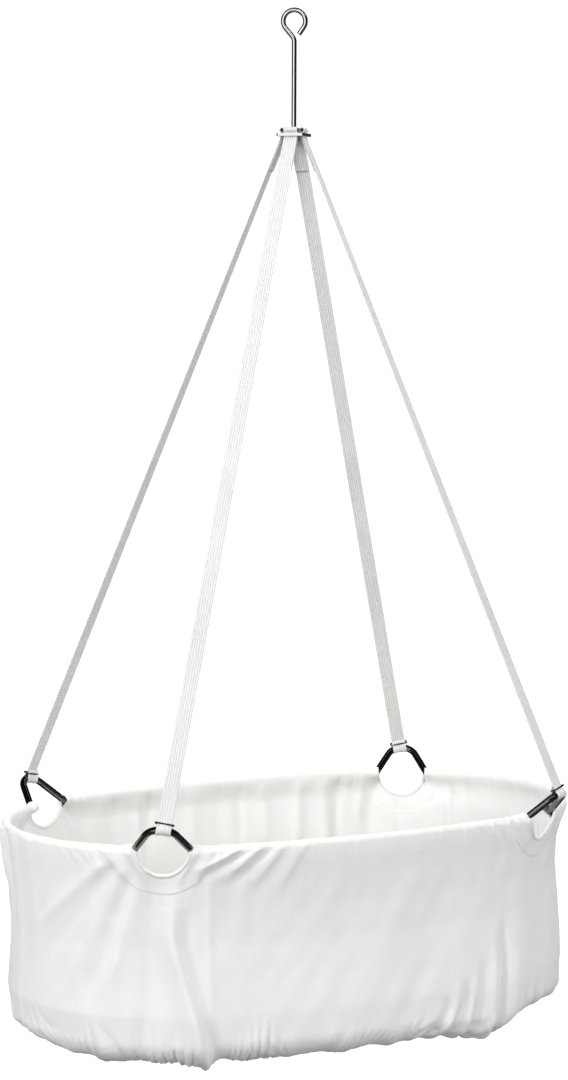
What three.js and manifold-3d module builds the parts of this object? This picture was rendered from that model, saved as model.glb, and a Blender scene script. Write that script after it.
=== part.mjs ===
// Hanging baby cradle: a canvas tub on a steel rim, hung by four webbing straps from a hanger
// plate that turns and tilts on an eye rod. Millimetres, +Z up, +X along the cradle, front at -Y.
// The origin is the top of the inside of the eye, where it rests on its hook.

import * as THREE from 'three';
import { mergeVertices } from 'three/addons/utils/BufferGeometryUtils.js';
import Module from 'manifold-3d';

// ---- driving dimensions ----

const GAP = 0.3; // clearance between parts that touch
const ROUND_SIDES = 8; // sides of a tube or wire section

// eye rod
const ROD_RADIUS = 3.5;
const EYE_RADIUS = 15.4; // centreline of the ring
const EYE_NECK = 24; // ring centre to the neck
const EYE_YAW = THREE.MathUtils.degToRad(-28); // the eye stands square to its hook
const EYE_TIP = new THREE.Vector2(5.5, -19.4); // free end of the ring, from its centre

// hanger plate and the swivel seat under it
const PLATE_Z = -168.6; // middle of the plate, and centre of the ball seat
const PLATE_SIDE = 40;
const PLATE_THICKNESS = 4;
const PLATE_HOLE = 4.7; // radius, wide enough for the plate to tilt on the rod
const SLOT_LENGTH = 21.2;
const SLOT_WIDTH = 4.6;
const SLOT_RADIUS = 14.4; // plate centre to slot centre
const PIN_RADIUS = 2.25;
const PIN_LENGTH = 23.4;
const SEAT_RADIUS = 7; // ball surface of the dome washer
const DOME_RING = [4.9, 6.4]; // inner and outer radius of the dome washer
const LINER_RING = [4.7, 6.3];
const LINER_THICKNESS = 0.8;
const CUP_RING = [4.4, 7]; // inner and outer radius of the cup's ball surface
const CUP_RADIUS = 9.5;
const NUT_FLATS = 11;
const NUT_HEIGHT = 5;

// straps
const WEBBING_WIDTH = 20;
const WEBBING_THICKNESS = 1.7;
const TOP_DOUBLED = 50; // length of the sewn double layer under the plate
const BOTTOM_DOUBLED = 30; // and of the one above the bow
const STRAP_STATIONS = [200, 350, 500, 650, 800]; // along the strap, where its twist is set
const PIN_ROOM = 1.2; // from a pin down to the flat part of the strap
const SEWN_OVERLAP = 0.8; // of the strap into its bottom loop
const KEEPER_RISE = 9; // keeper above the tube centre, along the strap
const KEEPER_WIRE = 2.4;
const LOOP_BORE = 5.8; // strap loop round the tube
const CORE_TURN = 0.15; // radians that the loop's bore runs past each of its ends

// steel rim
const RIM_Z = -1120;
const RIM_HALF_LENGTH = 418;
const RIM_HALF_WIDTH = 240;
const SIDE_FOOT = new THREE.Vector2(258.5, 211.3); // where a bow leaves the long side
const END_FOOT = new THREE.Vector2(326, 171.1); // where it leaves the end
const TUBE_RADIUS = 5;
const TUBE_BORE = 4;
const BOW_LEAN = THREE.MathUtils.degToRad(46); // outward lean of a bow, from upright
const BOW_PEAK = new THREE.Vector2(40, 78); // corner of the V, along and up from the side foot
const BOW_BEND = 23;
const FOOT_BEND = 8;
const FOOT_RUN = 14; // straight tube between a rail and the foot of a bow
const LOOP_SHIFT = -4; // strap loop from the crown of the bow, towards the long side
const SPIGOT_RADIUS = 3.2;
const SPIGOT_LENGTH = 24;

// canvas tub
const SLEEVE_BORE = 6;
const SLEEVE_RADIUS = 7.4;
const CLOTH = 2;
const TUB_DEPTH = 292;
const TUB_WAIST = 9; // how far the wall draws in half way down
const TUB_BELLY = 5; // how far it is in above the bottom edge
const TUB_EDGE = 34; // radius of the bottom edge
const SCOOP_RADIUS = 41;
const SCOOP_RISE = 9; // centre of a scoop above the rim
const SCOOP_REACH = 120; // length of the tool that cuts a scoop
const SEAM_ROOM = 3; // between the faceted edges of two cloth panels
const FACING_WIDTH = 26;
const FACING_THICKNESS = 1.4;
const HEM_CORD = 2.5;
const BOARD_INSET = 46;
const BOARD_THICKNESS = 6;
const MATTRESS_INSET = 25;
const MATTRESS_THICKNESS = 45;
const MATTRESS_EDGE = 12;

// ---- worked out from them ----

const sagRadius = (chord, sag) => (chord * chord + sag * sag) / (2 * sag);
const SIDE_RADIUS = sagRadius(SIDE_FOOT.x, RIM_HALF_WIDTH - SIDE_FOOT.y);
const END_RADIUS = sagRadius(END_FOOT.y, RIM_HALF_LENGTH - END_FOOT.x);
const SIDE_SWEEP = Math.asin(SIDE_FOOT.x / SIDE_RADIUS); // half angle of a side arc
const END_SWEEP = Math.asin(END_FOOT.y / END_RADIUS); // half angle of an end arc
const SIDE_CENTRE_Y = RIM_HALF_WIDTH - SIDE_RADIUS;
const END_CENTRE_X = RIM_HALF_LENGTH - END_RADIUS;
const PIN_Z = PLATE_Z + PLATE_THICKNESS / 2 + PIN_RADIUS + WEBBING_THICKNESS + 2 * GAP;
const BASE_Z = RIM_Z - TUB_DEPTH;

const CORNERS = [
  { name: 'front_left', sx: -1, sy: -1 },
  { name: 'front_right', sx: 1, sy: -1 },
  { name: 'back_left', sx: -1, sy: 1 },
  { name: 'back_right', sx: 1, sy: 1 },
];

const MATERIALS = {
  steel: { color: 0xc9cacc, roughness: 0.18, metalness: 1 },
  nylon: { color: 0xe6e4dd, roughness: 0.5, metalness: 0 },
  webbing: { color: 0xf4f4f1, roughness: 0.85, metalness: 0 },
  canvas: { color: 0xf3f2ee, roughness: 0.9, metalness: 0 },
  elastic: { color: 0xeeece6, roughness: 0.8, metalness: 0 },
  plywood: { color: 0xd9b98a, roughness: 0.6, metalness: 0 },
  ticking: { color: 0xf7f5ef, roughness: 0.95, metalness: 0 },
};

// ---- solids, joined and cut ----

const wasm = await Module();
wasm.setup();

function toSolid(geometry) {
  const bare = geometry.clone();
  bare.deleteAttribute('normal');
  bare.deleteAttribute('uv');
  const merged = mergeVertices(bare, 1e-4);
  return new wasm.Manifold(new wasm.Mesh({
    numProp: 3,
    vertProperties: new Float32Array(merged.attributes.position.array),
    triVerts: new Uint32Array(merged.index.array),
  }));
}

function toGeometry(solid) {
  const mesh = solid.getMesh();
  const geometry = new THREE.BufferGeometry();
  geometry.setAttribute('position', new THREE.BufferAttribute(mesh.vertProperties, 3));
  geometry.setIndex(new THREE.BufferAttribute(mesh.triVerts, 1));
  geometry.computeVertexNormals();
  return geometry;
}

function join(first, ...rest) {
  return toGeometry(rest.reduce((sum, piece) => sum.add(toSolid(piece)), toSolid(first)));
}

function cut(body, ...tools) {
  return toGeometry(tools.reduce((sum, tool) => sum.subtract(toSolid(tool)), toSolid(body)));
}

// ---- curves and sections ----

class Arc extends THREE.Curve {
  constructor(centre, radius, u, v, from, to) {
    super();
    Object.assign(this, { centre, radius, u, v, from, to });
  }

  getPoint(t, target = new THREE.Vector3()) {
    const angle = this.from + (this.to - this.from) * t;
    return target.copy(this.centre)
      .addScaledVector(this.u, this.radius * Math.cos(angle))
      .addScaledVector(this.v, this.radius * Math.sin(angle));
  }
}

function chain(...curves) {
  const path = new THREE.CurvePath();
  curves.forEach((curve) => path.add(curve));
  return path;
}

// Round bend between the lines a-b and b-c.
function bend(a, b, c, radius) {
  const back = a.clone().sub(b).normalize();
  const ahead = c.clone().sub(b).normalize();
  const half = back.angleTo(ahead) / 2;
  const start = b.clone().addScaledVector(back, radius / Math.tan(half));
  const toCentre = back.clone().add(ahead).normalize();
  const centre = b.clone().addScaledVector(toCentre, radius / Math.sin(half));
  const u = start.clone().sub(centre).normalize();
  const v = back.clone().negate();
  return new Arc(centre, radius, u, v, 0, Math.PI - 2 * half);
}

// Straight runs through the corners, with a bend of the given radius at each inner one.
function bentPath(corners, radii) {
  const curves = [];
  let start = corners[0];
  for (let i = 1; i < corners.length - 1; i += 1) {
    const turn = bend(corners[i - 1], corners[i], corners[i + 1], radii[i - 1]);
    curves.push(new THREE.LineCurve3(start, turn.getPoint(0)), turn);
    start = turn.getPoint(1);
  }
  curves.push(new THREE.LineCurve3(start, corners.at(-1)));
  return curves;
}

function disc(radius) {
  return new THREE.Shape().absarc(0, 0, radius, 0, 2 * Math.PI, false);
}

function annulus(outer, inner) {
  const shape = disc(outer);
  shape.holes.push(new THREE.Path().absarc(0, 0, inner, 0, 2 * Math.PI, true));
  return shape;
}

function sweep(shape, extrudePath, steps) {
  return new THREE.ExtrudeGeometry(shape, { extrudePath, steps, curveSegments: ROUND_SIDES / 2 });
}

// Stands a shape drawn in a plane at a point, with its x and y along two directions.
function stand(geometry, at, x, y) {
  const z = x.clone().cross(y);
  const basis = new THREE.Matrix4().makeBasis(x, y, z).setPosition(at);
  return geometry.applyMatrix4(basis);
}

function slab(shape, bottom, depth, curveSegments = 12) {
  const geometry = new THREE.ExtrudeGeometry(shape, { depth, bevelEnabled: false, curveSegments });
  return geometry.translate(0, 0, bottom);
}

const X = new THREE.Vector3(1, 0, 0);
const Y = new THREE.Vector3(0, 1, 0);
const Z = new THREE.Vector3(0, 0, 1);

const place = (corner, x, y, z) => new THREE.Vector3(corner.sx * x, corner.sy * y, z);

// ---- the rim's plan: two side arcs, two end arcs and a short chord at each corner ----

const sideCentre = (side) => new THREE.Vector3(0, side * SIDE_CENTRE_Y, RIM_Z);
const endCentre = (end) => new THREE.Vector3(end * END_CENTRE_X, 0, RIM_Z);

function sideArc(side, trim) {
  const half = SIDE_SWEEP - trim / SIDE_RADIUS;
  return new Arc(sideCentre(side), SIDE_RADIUS, Y.clone().multiplyScalar(side), X, -half, half);
}

function endArc(end, trim) {
  const half = END_SWEEP - trim / END_RADIUS;
  return new Arc(endCentre(end), END_RADIUS, X.clone().multiplyScalar(end), Y, -half, half);
}

// The rim's outline, drawn in by an inset, as a closed shape.
function outline(inset) {
  const shape = new THREE.Shape();
  const side = SIDE_RADIUS - inset;
  const end = END_RADIUS - inset;
  shape.absarc(END_CENTRE_X, 0, end, -END_SWEEP, END_SWEEP, false);
  shape.absarc(0, SIDE_CENTRE_Y, side, Math.PI / 2 - SIDE_SWEEP, Math.PI / 2 + SIDE_SWEEP, false);
  shape.absarc(-END_CENTRE_X, 0, end, Math.PI - END_SWEEP, Math.PI + END_SWEEP, false);
  shape.absarc(0, -SIDE_CENTRE_Y, side, -Math.PI / 2 - SIDE_SWEEP, -Math.PI / 2 + SIDE_SWEEP, false);
  shape.closePath();
  return shape;
}

// ---- eye rod, plate and swivel seat ----

function eyeRod() {
  const across = X.clone().applyAxisAngle(Z, EYE_YAW);
  const centreZ = ROD_RADIUS - EYE_RADIUS;
  const at = (x, z) => across.clone().multiplyScalar(x).setZ(centreZ + z);
  const neck = at(0, -EYE_NECK);
  const neckLean = Math.asin(EYE_RADIUS / EYE_NECK);
  const tipReach = EYE_TIP.length();
  const tipBearing = Math.atan2(EYE_TIP.y, EYE_TIP.x);
  const ringStart = Math.PI + neckLean;
  const ringEnd = tipBearing + Math.acos(EYE_RADIUS / tipReach);
  const ring = new Arc(at(0, 0), EYE_RADIUS, across, Z, ringStart, ringEnd);
  const foot = at(0, 0).setZ(PLATE_Z - CUP_RADIUS - NUT_HEIGHT - 1);
  const stem = bentPath([foot, neck, ring.getPoint(0)], [12]);
  const tip = new THREE.LineCurve3(ring.getPoint(1), at(EYE_TIP.x, EYE_TIP.y));
  return sweep(disc(ROD_RADIUS), chain(...stem, ring, tip), 48);
}

function nut() {
  const shape = new THREE.Shape();
  for (let i = 0; i < 6; i += 1) {
    const angle = (i * Math.PI) / 3;
    const corner = NUT_FLATS / Math.sqrt(3);
    shape[i ? 'lineTo' : 'moveTo'](corner * Math.cos(angle), corner * Math.sin(angle));
  }
  shape.closePath();
  shape.holes.push(new THREE.Path().absarc(0, 0, ROD_RADIUS + 2 * GAP, 0, 2 * Math.PI, true));
  return slab(shape, PLATE_Z - CUP_RADIUS - GAP - NUT_HEIGHT, NUT_HEIGHT, 6);
}

// Washer between two ball surfaces about the seat centre, from one radius out to another.
function ballWasher(inner, outer, profileOf) {
  const points = profileOf(inner, outer).map(([r, z]) => new THREE.Vector2(r, z));
  points.push(points[0].clone());
  return new THREE.LatheGeometry(points, 16).rotateX(Math.PI / 2).translate(0, 0, PLATE_Z);
}

const onBall = (radius, r) => -Math.sqrt(radius * radius - r * r);

function domeWasher() {
  const top = -PLATE_THICKNESS / 2 - GAP;
  return ballWasher(...DOME_RING, (a, b) => [
    [a, top], [a, onBall(SEAT_RADIUS, a)], [(a + b) / 2, onBall(SEAT_RADIUS, (a + b) / 2)],
    [b, onBall(SEAT_RADIUS, b)], [b, top],
  ]);
}

function bearingLiner() {
  const inside = SEAT_RADIUS + GAP;
  const outside = inside + LINER_THICKNESS;
  return ballWasher(...LINER_RING, (a, b) => [
    [a, onBall(inside, a)], [a, onBall(outside, a)], [(a + b) / 2, onBall(outside, (a + b) / 2)],
    [b, onBall(outside, b)], [b, onBall(inside, b)], [(a + b) / 2, onBall(inside, (a + b) / 2)],
  ]);
}

function cupWasher() {
  const seat = SEAT_RADIUS + 2 * GAP + LINER_THICKNESS;
  const bore = ROD_RADIUS + 2 * GAP;
  return ballWasher(...CUP_RING, (a, b) => [
    [bore, -CUP_RADIUS], [CUP_RADIUS, -CUP_RADIUS], [CUP_RADIUS, onBall(seat, b)],
    [b, onBall(seat, b)], [(a + b) / 2, onBall(seat, (a + b) / 2)], [a, onBall(seat, a)],
    [bore, onBall(seat, a)],
  ]);
}

function hangerPlate() {
  const half = PLATE_SIDE / 2;
  const round = 3;
  const shape = new THREE.Shape();
  for (let i = 0; i < 4; i += 1) {
    const from = Math.PI + (i * Math.PI) / 2;
    const x = (half - round) * (i === 0 || i === 3 ? -1 : 1);
    const y = (half - round) * (i < 2 ? -1 : 1);
    shape.absarc(x, y, round, from, from + Math.PI / 2, false);
  }
  shape.closePath();
  shape.holes.push(new THREE.Path().absarc(0, 0, PLATE_HOLE, 0, 2 * Math.PI, true));
  const slots = [0, 1, 2, 3].map((i) => new THREE.BoxGeometry(SLOT_WIDTH, SLOT_LENGTH, 3 * PLATE_THICKNESS)
    .translate(SLOT_RADIUS, 0, PLATE_Z).rotateZ((i * Math.PI) / 2));
  const plate = slab(shape, PLATE_Z - PLATE_THICKNESS / 2, PLATE_THICKNESS, 6);
  return cut(plate, ...slots).rotateZ(Math.PI / 4);
}

// ---- straps ----

const slotDirection = (corner) => place(corner, 1, 1, 0).normalize();

function loopPin(corner) {
  const out = slotDirection(corner);
  const along = Z.clone().cross(out);
  const pin = new THREE.CylinderGeometry(PIN_RADIUS, PIN_RADIUS, PIN_LENGTH, 12);
  return stand(pin, out.clone().multiplyScalar(SLOT_RADIUS).setZ(PIN_Z), out, along);
}

// Flat band through a row of stations, each with its place, width direction and thickness.
function band(stations) {
  const last = stations.length - 1;
  const geometry = new THREE.BoxGeometry(1, 1, 1, 1, 1, last);
  const position = geometry.attributes.position;
  for (let i = 0; i < position.count; i += 1) {
    const row = Math.round((position.getZ(i) + 0.5) * last);
    const { at, across, thickness } = stations[row];
    const along = stations[Math.max(row - 1, 0)].at.clone()
      .sub(stations[Math.min(row + 1, last)].at).normalize().negate();
    const through = along.cross(across).normalize();
    const point = at.clone()
      .addScaledVector(across, position.getX(i) * WEBBING_WIDTH)
      .addScaledVector(through, position.getY(i) * thickness);
    position.setXYZ(i, point.x, point.y, point.z);
  }
  return geometry;
}

function strap(corner) {
  const out = slotDirection(corner);
  const loop = bowLoop(corner);
  const acrossTop = Z.clone().cross(out);
  acrossTop.multiplyScalar(Math.sign(acrossTop.dot(loop.along)));
  const mouth = out.clone().multiplyScalar(SLOT_RADIUS).setZ(PLATE_Z - PLATE_THICKNESS / 2 - 1);
  const end = loop.centre.clone();
  const length = mouth.distanceTo(end);
  const endRun = TUBE_RADIUS + GAP + WEBBING_THICKNESS / 2 + SEWN_OVERLAP;
  const doubled = 2 * WEBBING_THICKNESS;
  const underPin = mouth.clone().setZ(PIN_Z - PIN_RADIUS - PIN_ROOM);
  const stations = [{ at: underPin, across: acrossTop, thickness: doubled }];
  const sewn = length - BOTTOM_DOUBLED;
  const runs = [0, TOP_DOUBLED, TOP_DOUBLED + 1, ...STRAP_STATIONS, sewn - 1, sewn, length - endRun];
  runs.forEach((run) => {
    const t = run / length;
    const across = acrossTop.clone().lerp(loop.along, t).normalize();
    const single = run > TOP_DOUBLED && run < sewn;
    stations.push({
      at: mouth.clone().lerp(end, t),
      across,
      thickness: single ? WEBBING_THICKNESS : doubled,
    });
  });
  const inner = PIN_RADIUS + GAP;
  const topRing = annulus(inner + WEBBING_THICKNESS, inner);
  const topLoop = slab(topRing, -WEBBING_WIDTH / 2, WEBBING_WIDTH, 6);
  stand(topLoop, mouth.clone().setZ(PIN_Z), out, Z);
  const bottomLoop = sweep(disc(LOOP_BORE + WEBBING_THICKNESS), loop.wrap, 4);
  const core = sweep(disc(LOOP_BORE), loop.core, 6);
  return cut(join(band(stations), topLoop, bottomLoop), core);
}

function keeper(corner) {
  const loop = bowLoop(corner);
  const up = slotDirection(corner).multiplyScalar(SLOT_RADIUS).setZ(PLATE_Z).sub(loop.centre).normalize();
  const across = loop.along.clone();
  const through = up.clone().cross(across).normalize();
  across.copy(through).cross(up).normalize();
  const inside = new THREE.Vector2(WEBBING_WIDTH / 2 + 1, WEBBING_THICKNESS + 0.5);
  const rectangle = (Kind, grow) => {
    const x = inside.x + grow;
    const y = inside.y + grow;
    return new Kind().moveTo(-x, -y).lineTo(x, -y).lineTo(x, y).lineTo(-x, y).closePath();
  };
  const shape = rectangle(THREE.Shape, KEEPER_WIRE);
  shape.holes.push(rectangle(THREE.Path, 0));
  const ring = slab(shape, -KEEPER_WIRE / 2, KEEPER_WIRE);
  return stand(ring, loop.centre.clone().addScaledVector(up, KEEPER_RISE), across, through);
}

// ---- steel rim ----

// The two feet of a bow and the corner of its V, with the rail ends that they grow out of.
function bowFrame(corner) {
  const sideAngle = SIDE_SWEEP - FOOT_RUN / SIDE_RADIUS;
  const endAngle = END_SWEEP - FOOT_RUN / END_RADIUS;
  const sideEnd = place(corner, SIDE_RADIUS * Math.sin(sideAngle),
    SIDE_CENTRE_Y + SIDE_RADIUS * Math.cos(sideAngle), RIM_Z);
  const endEnd = place(corner, END_CENTRE_X + END_RADIUS * Math.cos(endAngle),
    END_RADIUS * Math.sin(endAngle), RIM_Z);
  const sideFoot = sideEnd.clone().add(
    place(corner, Math.cos(sideAngle), -Math.sin(sideAngle), 0).multiplyScalar(FOOT_RUN));
  const endFoot = endEnd.clone().add(
    place(corner, -Math.sin(endAngle), Math.cos(endAngle), 0).multiplyScalar(FOOT_RUN));
  const along = endFoot.clone().sub(sideFoot).normalize();
  const out = place(corner, Math.abs(along.y), Math.abs(along.x), 0);
  const rise = out.multiplyScalar(Math.sin(BOW_LEAN)).setZ(Math.cos(BOW_LEAN));
  const peak = sideFoot.clone().addScaledVector(along, BOW_PEAK.x).addScaledVector(rise, BOW_PEAK.y);
  return { sideEnd, endEnd, sideFoot, endFoot, peak, along, rise };
}

// Where the strap goes round the bow: near the crown of its bend.
function bowLoop(corner) {
  const { sideFoot, endFoot, peak } = bowFrame(corner);
  const crown = bend(sideFoot, peak, endFoot, BOW_BEND);
  const middle = crown.to / 2 + LOOP_SHIFT / BOW_BEND;
  const half = WEBBING_WIDTH / 2 / BOW_BEND;
  const slice = (extra) => new Arc(crown.centre, BOW_BEND, crown.u, crown.v,
    middle - half - extra, middle + half + extra);
  const wrap = slice(0);
  return { centre: wrap.getPoint(0.5), along: wrap.getTangent(0.5), wrap, core: slice(CORE_TURN) };
}

function cornerBow(corner) {
  const { sideEnd, endEnd, sideFoot, endFoot, peak } = bowFrame(corner);
  const path = bentPath([sideEnd, sideFoot, peak, endFoot, endEnd], [FOOT_BEND, BOW_BEND, FOOT_BEND]);
  const spigot = (centre, at, radius, inward) => {
    const u = at.clone().sub(centre).normalize();
    const turn = SPIGOT_LENGTH / radius;
    const overlap = 1 / radius;
    const arc = new Arc(centre, radius, u, Z.clone().cross(u).multiplyScalar(inward), -overlap, turn);
    return sweep(disc(SPIGOT_RADIUS), arc, 3);
  };
  const toMiddle = corner.sx * corner.sy;
  return join(
    sweep(disc(TUBE_RADIUS), chain(...path), 36),
    spigot(sideCentre(corner.sy), sideEnd, SIDE_RADIUS, toMiddle),
    spigot(endCentre(corner.sx), endEnd, END_RADIUS, -toMiddle),
  );
}

const rail = (arc, steps) => sweep(annulus(TUBE_RADIUS, TUBE_BORE), arc, steps);
const sleeve = (arc, steps) => sweep(annulus(SLEEVE_RADIUS, SLEEVE_BORE), arc, steps);

// ---- canvas tub and what lies in it ----

// Plan of one half of the tub, from the middle of one end round the side to the middle of the other.
function halfPlan(side) {
  const seam = CLOTH / 2 / END_RADIUS / 3;
  const end = (sign) => {
    const from = sign < 0 ? seam : END_SWEEP;
    const to = sign < 0 ? END_SWEEP : seam;
    const u = X.clone().multiplyScalar(sign);
    return new Arc(endCentre(sign), END_RADIUS, u, Y.clone().multiplyScalar(side), from, to);
  };
  const first = end(-1);
  const middle = sideArc(side, 0);
  const last = end(1);
  return chain(
    first,
    new THREE.LineCurve3(first.getPoint(1), middle.getPoint(0)),
    middle,
    new THREE.LineCurve3(middle.getPoint(1), last.getPoint(0)),
    last,
  );
}

// Section of the wall: down is +x and outward is +y, on the side where outward is given.
function wallSection(outward) {
  const shape = new THREE.Shape();
  const top = SLEEVE_RADIUS + GAP;
  const turn = TUB_DEPTH - TUB_EDGE;
  const skin = (inset, radius) => [
    [top, -inset], [TUB_DEPTH / 2, -TUB_WAIST - inset],
    ...[0, 1, 2, 3].map((i) => {
      const angle = (i * Math.PI) / 6;
      return [turn + radius * Math.sin(angle), -TUB_BELLY - TUB_EDGE + radius * Math.cos(angle)];
    }),
  ];
  const points = [...skin(0, TUB_EDGE), ...skin(CLOTH, TUB_EDGE - CLOTH).reverse()];
  points.forEach(([down, out], i) => shape[i ? 'lineTo' : 'moveTo'](down, out * outward));
  shape.closePath();
  return shape;
}

// A round bar square to the corner, as wide as its scoop.
function scoopTool(corner, radius, length) {
  const { sideFoot, endFoot, along } = bowFrame(corner);
  const middle = sideFoot.clone().add(endFoot).multiplyScalar(0.5).setZ(RIM_Z + SCOOP_RISE);
  const out = Z.clone().cross(along).normalize();
  const bar = new THREE.CylinderGeometry(radius, radius, length, 24);
  return stand(bar, middle, along, out);
}

function coverHalf(side) {
  const wall = sweep(wallSection(side), halfPlan(side), 32);
  const scoops = CORNERS.filter((corner) => corner.sy === side)
    .map((corner) => scoopTool(corner, SCOOP_RADIUS, SCOOP_REACH));
  return cut(wall, ...scoops);
}

// Curved strip sewn inside the wall round the scoop: a ring cut out of a thin lining.
function scoopFacing(corner) {
  const top = SLEEVE_RADIUS + GAP;
  const low = top + SCOOP_RADIUS + FACING_WIDTH;
  const lean = (TUB_WAIST * (low - top)) / (TUB_DEPTH / 2 - top);
  const near = -CLOTH - GAP;
  const far = near - FACING_THICKNESS;
  const section = new THREE.Shape([[top, near], [low, near - lean], [low, far - lean], [top, far]]
    .map(([down, out]) => new THREE.Vector2(down, out * corner.sy)));
  const lining = sweep(section, halfPlan(corner.sy), 32);
  const ring = toSolid(scoopTool(corner, SCOOP_RADIUS + FACING_WIDTH, SCOOP_REACH))
    .subtract(toSolid(scoopTool(corner, SCOOP_RADIUS, SCOOP_REACH + 10)));
  return toGeometry(toSolid(lining).intersect(ring));
}

function hemElastic() {
  const inset = TUB_BELLY + TUB_EDGE + 8;
  const shape = outline(inset);
  shape.holes.push(outline(inset + 2 * HEM_CORD));
  return slab(shape, BASE_Z + CLOTH + GAP, HEM_CORD, 7);
}

const basePanel = () => slab(outline(TUB_BELLY + TUB_EDGE + SEAM_ROOM), BASE_Z, CLOTH, 7);

const boardBottom = BASE_Z + CLOTH + HEM_CORD + 2 * GAP;
const baseBoard = () => slab(outline(BOARD_INSET), boardBottom, BOARD_THICKNESS, 7);

function mattress() {
  return new THREE.ExtrudeGeometry(outline(MATTRESS_INSET + MATTRESS_EDGE), {
    depth: MATTRESS_THICKNESS - 2 * MATTRESS_EDGE,
    bevelEnabled: true,
    bevelThickness: MATTRESS_EDGE,
    bevelSize: MATTRESS_EDGE,
    bevelSegments: 2,
    curveSegments: 7,
  }).translate(0, 0, boardBottom + BOARD_THICKNESS + GAP + MATTRESS_EDGE);
}

// ---- assembly ----

const cradle = new THREE.Group();

function add(name, material, geometry) {
  const mesh = new THREE.Mesh(geometry, new THREE.MeshStandardMaterial(MATERIALS[material]));
  mesh.name = name;
  cradle.add(mesh);
}

add('eye_rod', 'steel', eyeRod());
add('rod_nut', 'steel', nut());
add('cup_washer', 'steel', cupWasher());
add('bearing_liner', 'nylon', bearingLiner());
add('dome_washer', 'steel', domeWasher());
add('hanger_plate', 'steel', hangerPlate());

CORNERS.forEach((corner) => {
  add(`loop_pin_${corner.name}`, 'steel', loopPin(corner));
  add(`strap_${corner.name}`, 'webbing', strap(corner));
  add(`strap_keeper_${corner.name}`, 'steel', keeper(corner));
  add(`corner_bow_${corner.name}`, 'steel', cornerBow(corner));
  add(`scoop_facing_${corner.name}`, 'canvas', scoopFacing(corner));
});

const SLEEVE_TRIM = FOOT_RUN - 6;
[['front', -1], ['back', 1]].forEach(([name, side]) => {
  add(`${name}_rail`, 'steel', rail(sideArc(side, FOOT_RUN + GAP), 8));
  add(`${name}_sleeve`, 'canvas', sleeve(sideArc(side, SLEEVE_TRIM), 8));
  add(`${name}_cover`, 'canvas', coverHalf(side));
});
[['left', -1], ['right', 1]].forEach(([name, end]) => {
  add(`${name}_rail`, 'steel', rail(endArc(end, FOOT_RUN + GAP), 14));
  add(`${name}_sleeve`, 'canvas', sleeve(endArc(end, SLEEVE_TRIM), 14));
});

add('base_panel', 'canvas', basePanel());
add('hem_elastic', 'elastic', hemElastic());
add('base_board', 'plywood', baseBoard());
add('mattress', 'ticking', mattress());

export default cradle;
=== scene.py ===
import math

import bmesh
import bpy
import numpy as np
from bpy.props import FloatProperty, FloatVectorProperty, IntProperty, PointerProperty
from mathutils import Matrix, Vector


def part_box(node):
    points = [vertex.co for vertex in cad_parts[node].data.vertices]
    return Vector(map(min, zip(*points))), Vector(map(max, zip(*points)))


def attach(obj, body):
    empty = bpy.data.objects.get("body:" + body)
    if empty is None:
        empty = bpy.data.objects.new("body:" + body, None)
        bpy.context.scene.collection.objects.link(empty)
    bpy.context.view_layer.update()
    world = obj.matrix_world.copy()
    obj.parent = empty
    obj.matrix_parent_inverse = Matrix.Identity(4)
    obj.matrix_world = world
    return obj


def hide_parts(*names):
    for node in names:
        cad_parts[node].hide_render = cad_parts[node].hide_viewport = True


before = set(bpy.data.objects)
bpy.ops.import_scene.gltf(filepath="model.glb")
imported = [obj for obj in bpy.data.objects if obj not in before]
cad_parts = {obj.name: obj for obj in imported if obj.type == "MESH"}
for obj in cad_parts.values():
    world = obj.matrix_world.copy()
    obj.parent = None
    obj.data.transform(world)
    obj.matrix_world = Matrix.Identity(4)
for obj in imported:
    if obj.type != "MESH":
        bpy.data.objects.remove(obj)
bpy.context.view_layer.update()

bl_info = {
    "name": "Hanging Baby Cradle",
    "version": (1, 0, 0),
    "blender": (4, 5, 0),
    "location": "View3D > Sidebar > Cradle",
    "description": "Canvas tub, webbing straps and polished steel of a hanging baby cradle",
    "category": "Object",
}

# ---- places and sizes read from the frame, in metres ----

RAIL_LOW, RAIL_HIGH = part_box("back_rail")
TUBE_RADIUS = (RAIL_HIGH.z - RAIL_LOW.z) / 2
RIM_Z = (RAIL_HIGH.z + RAIL_LOW.z) / 2
HALF_WIDTH = RAIL_HIGH.y - TUBE_RADIUS
HALF_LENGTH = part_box("right_rail")[1].x - TUBE_RADIUS
DEPTH = RIM_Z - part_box("base_panel")[0].z
PLATE_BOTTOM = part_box("hanger_plate")[0].z
PIN_Z = sum(corner.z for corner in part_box("loop_pin_front_left")) / 2
ROD_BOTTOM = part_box("eye_rod")[0].z

# ---- the rest of the design, in metres ----

SIDE_FOOT = np.array([0.2585, 0.2113])  # where a corner bow leaves the long side
END_FOOT = np.array([0.326, 0.1711])  # where it leaves the end
FOOT_RUN = 0.014
BOW_LEAN = math.radians(46)
BOW_PEAK = (0.040, 0.078)
BOW_BEND = 0.023
FOOT_BEND = 0.008
LOOP_SHIFT = -0.004

ROD_RADIUS = 0.0035
EYE_RADIUS = 0.0154
EYE_NECK = 0.024
EYE_YAW = math.radians(-28)
EYE_TIP = (0.0055, -0.0194)

WEBBING_WIDTH = 0.020
WEBBING_THICKNESS = 0.0017
WEBBING_RIBS = 6
SLOT_RADIUS = 0.0144
PIN_RADIUS = 0.00225
PIN_LENGTH = 0.0234
KEEPER_RISE = 0.0082
KEEPER_RADIUS = 0.0012
KEEPER_CORNER = 0.0016
BOX_STITCHES = (0.030, 0.047)  # the sewn box of a strap, measured down from the plate
WEBBING_LAP = 0.050  # the sewn end of a strap reaches this far down from the plate

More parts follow.
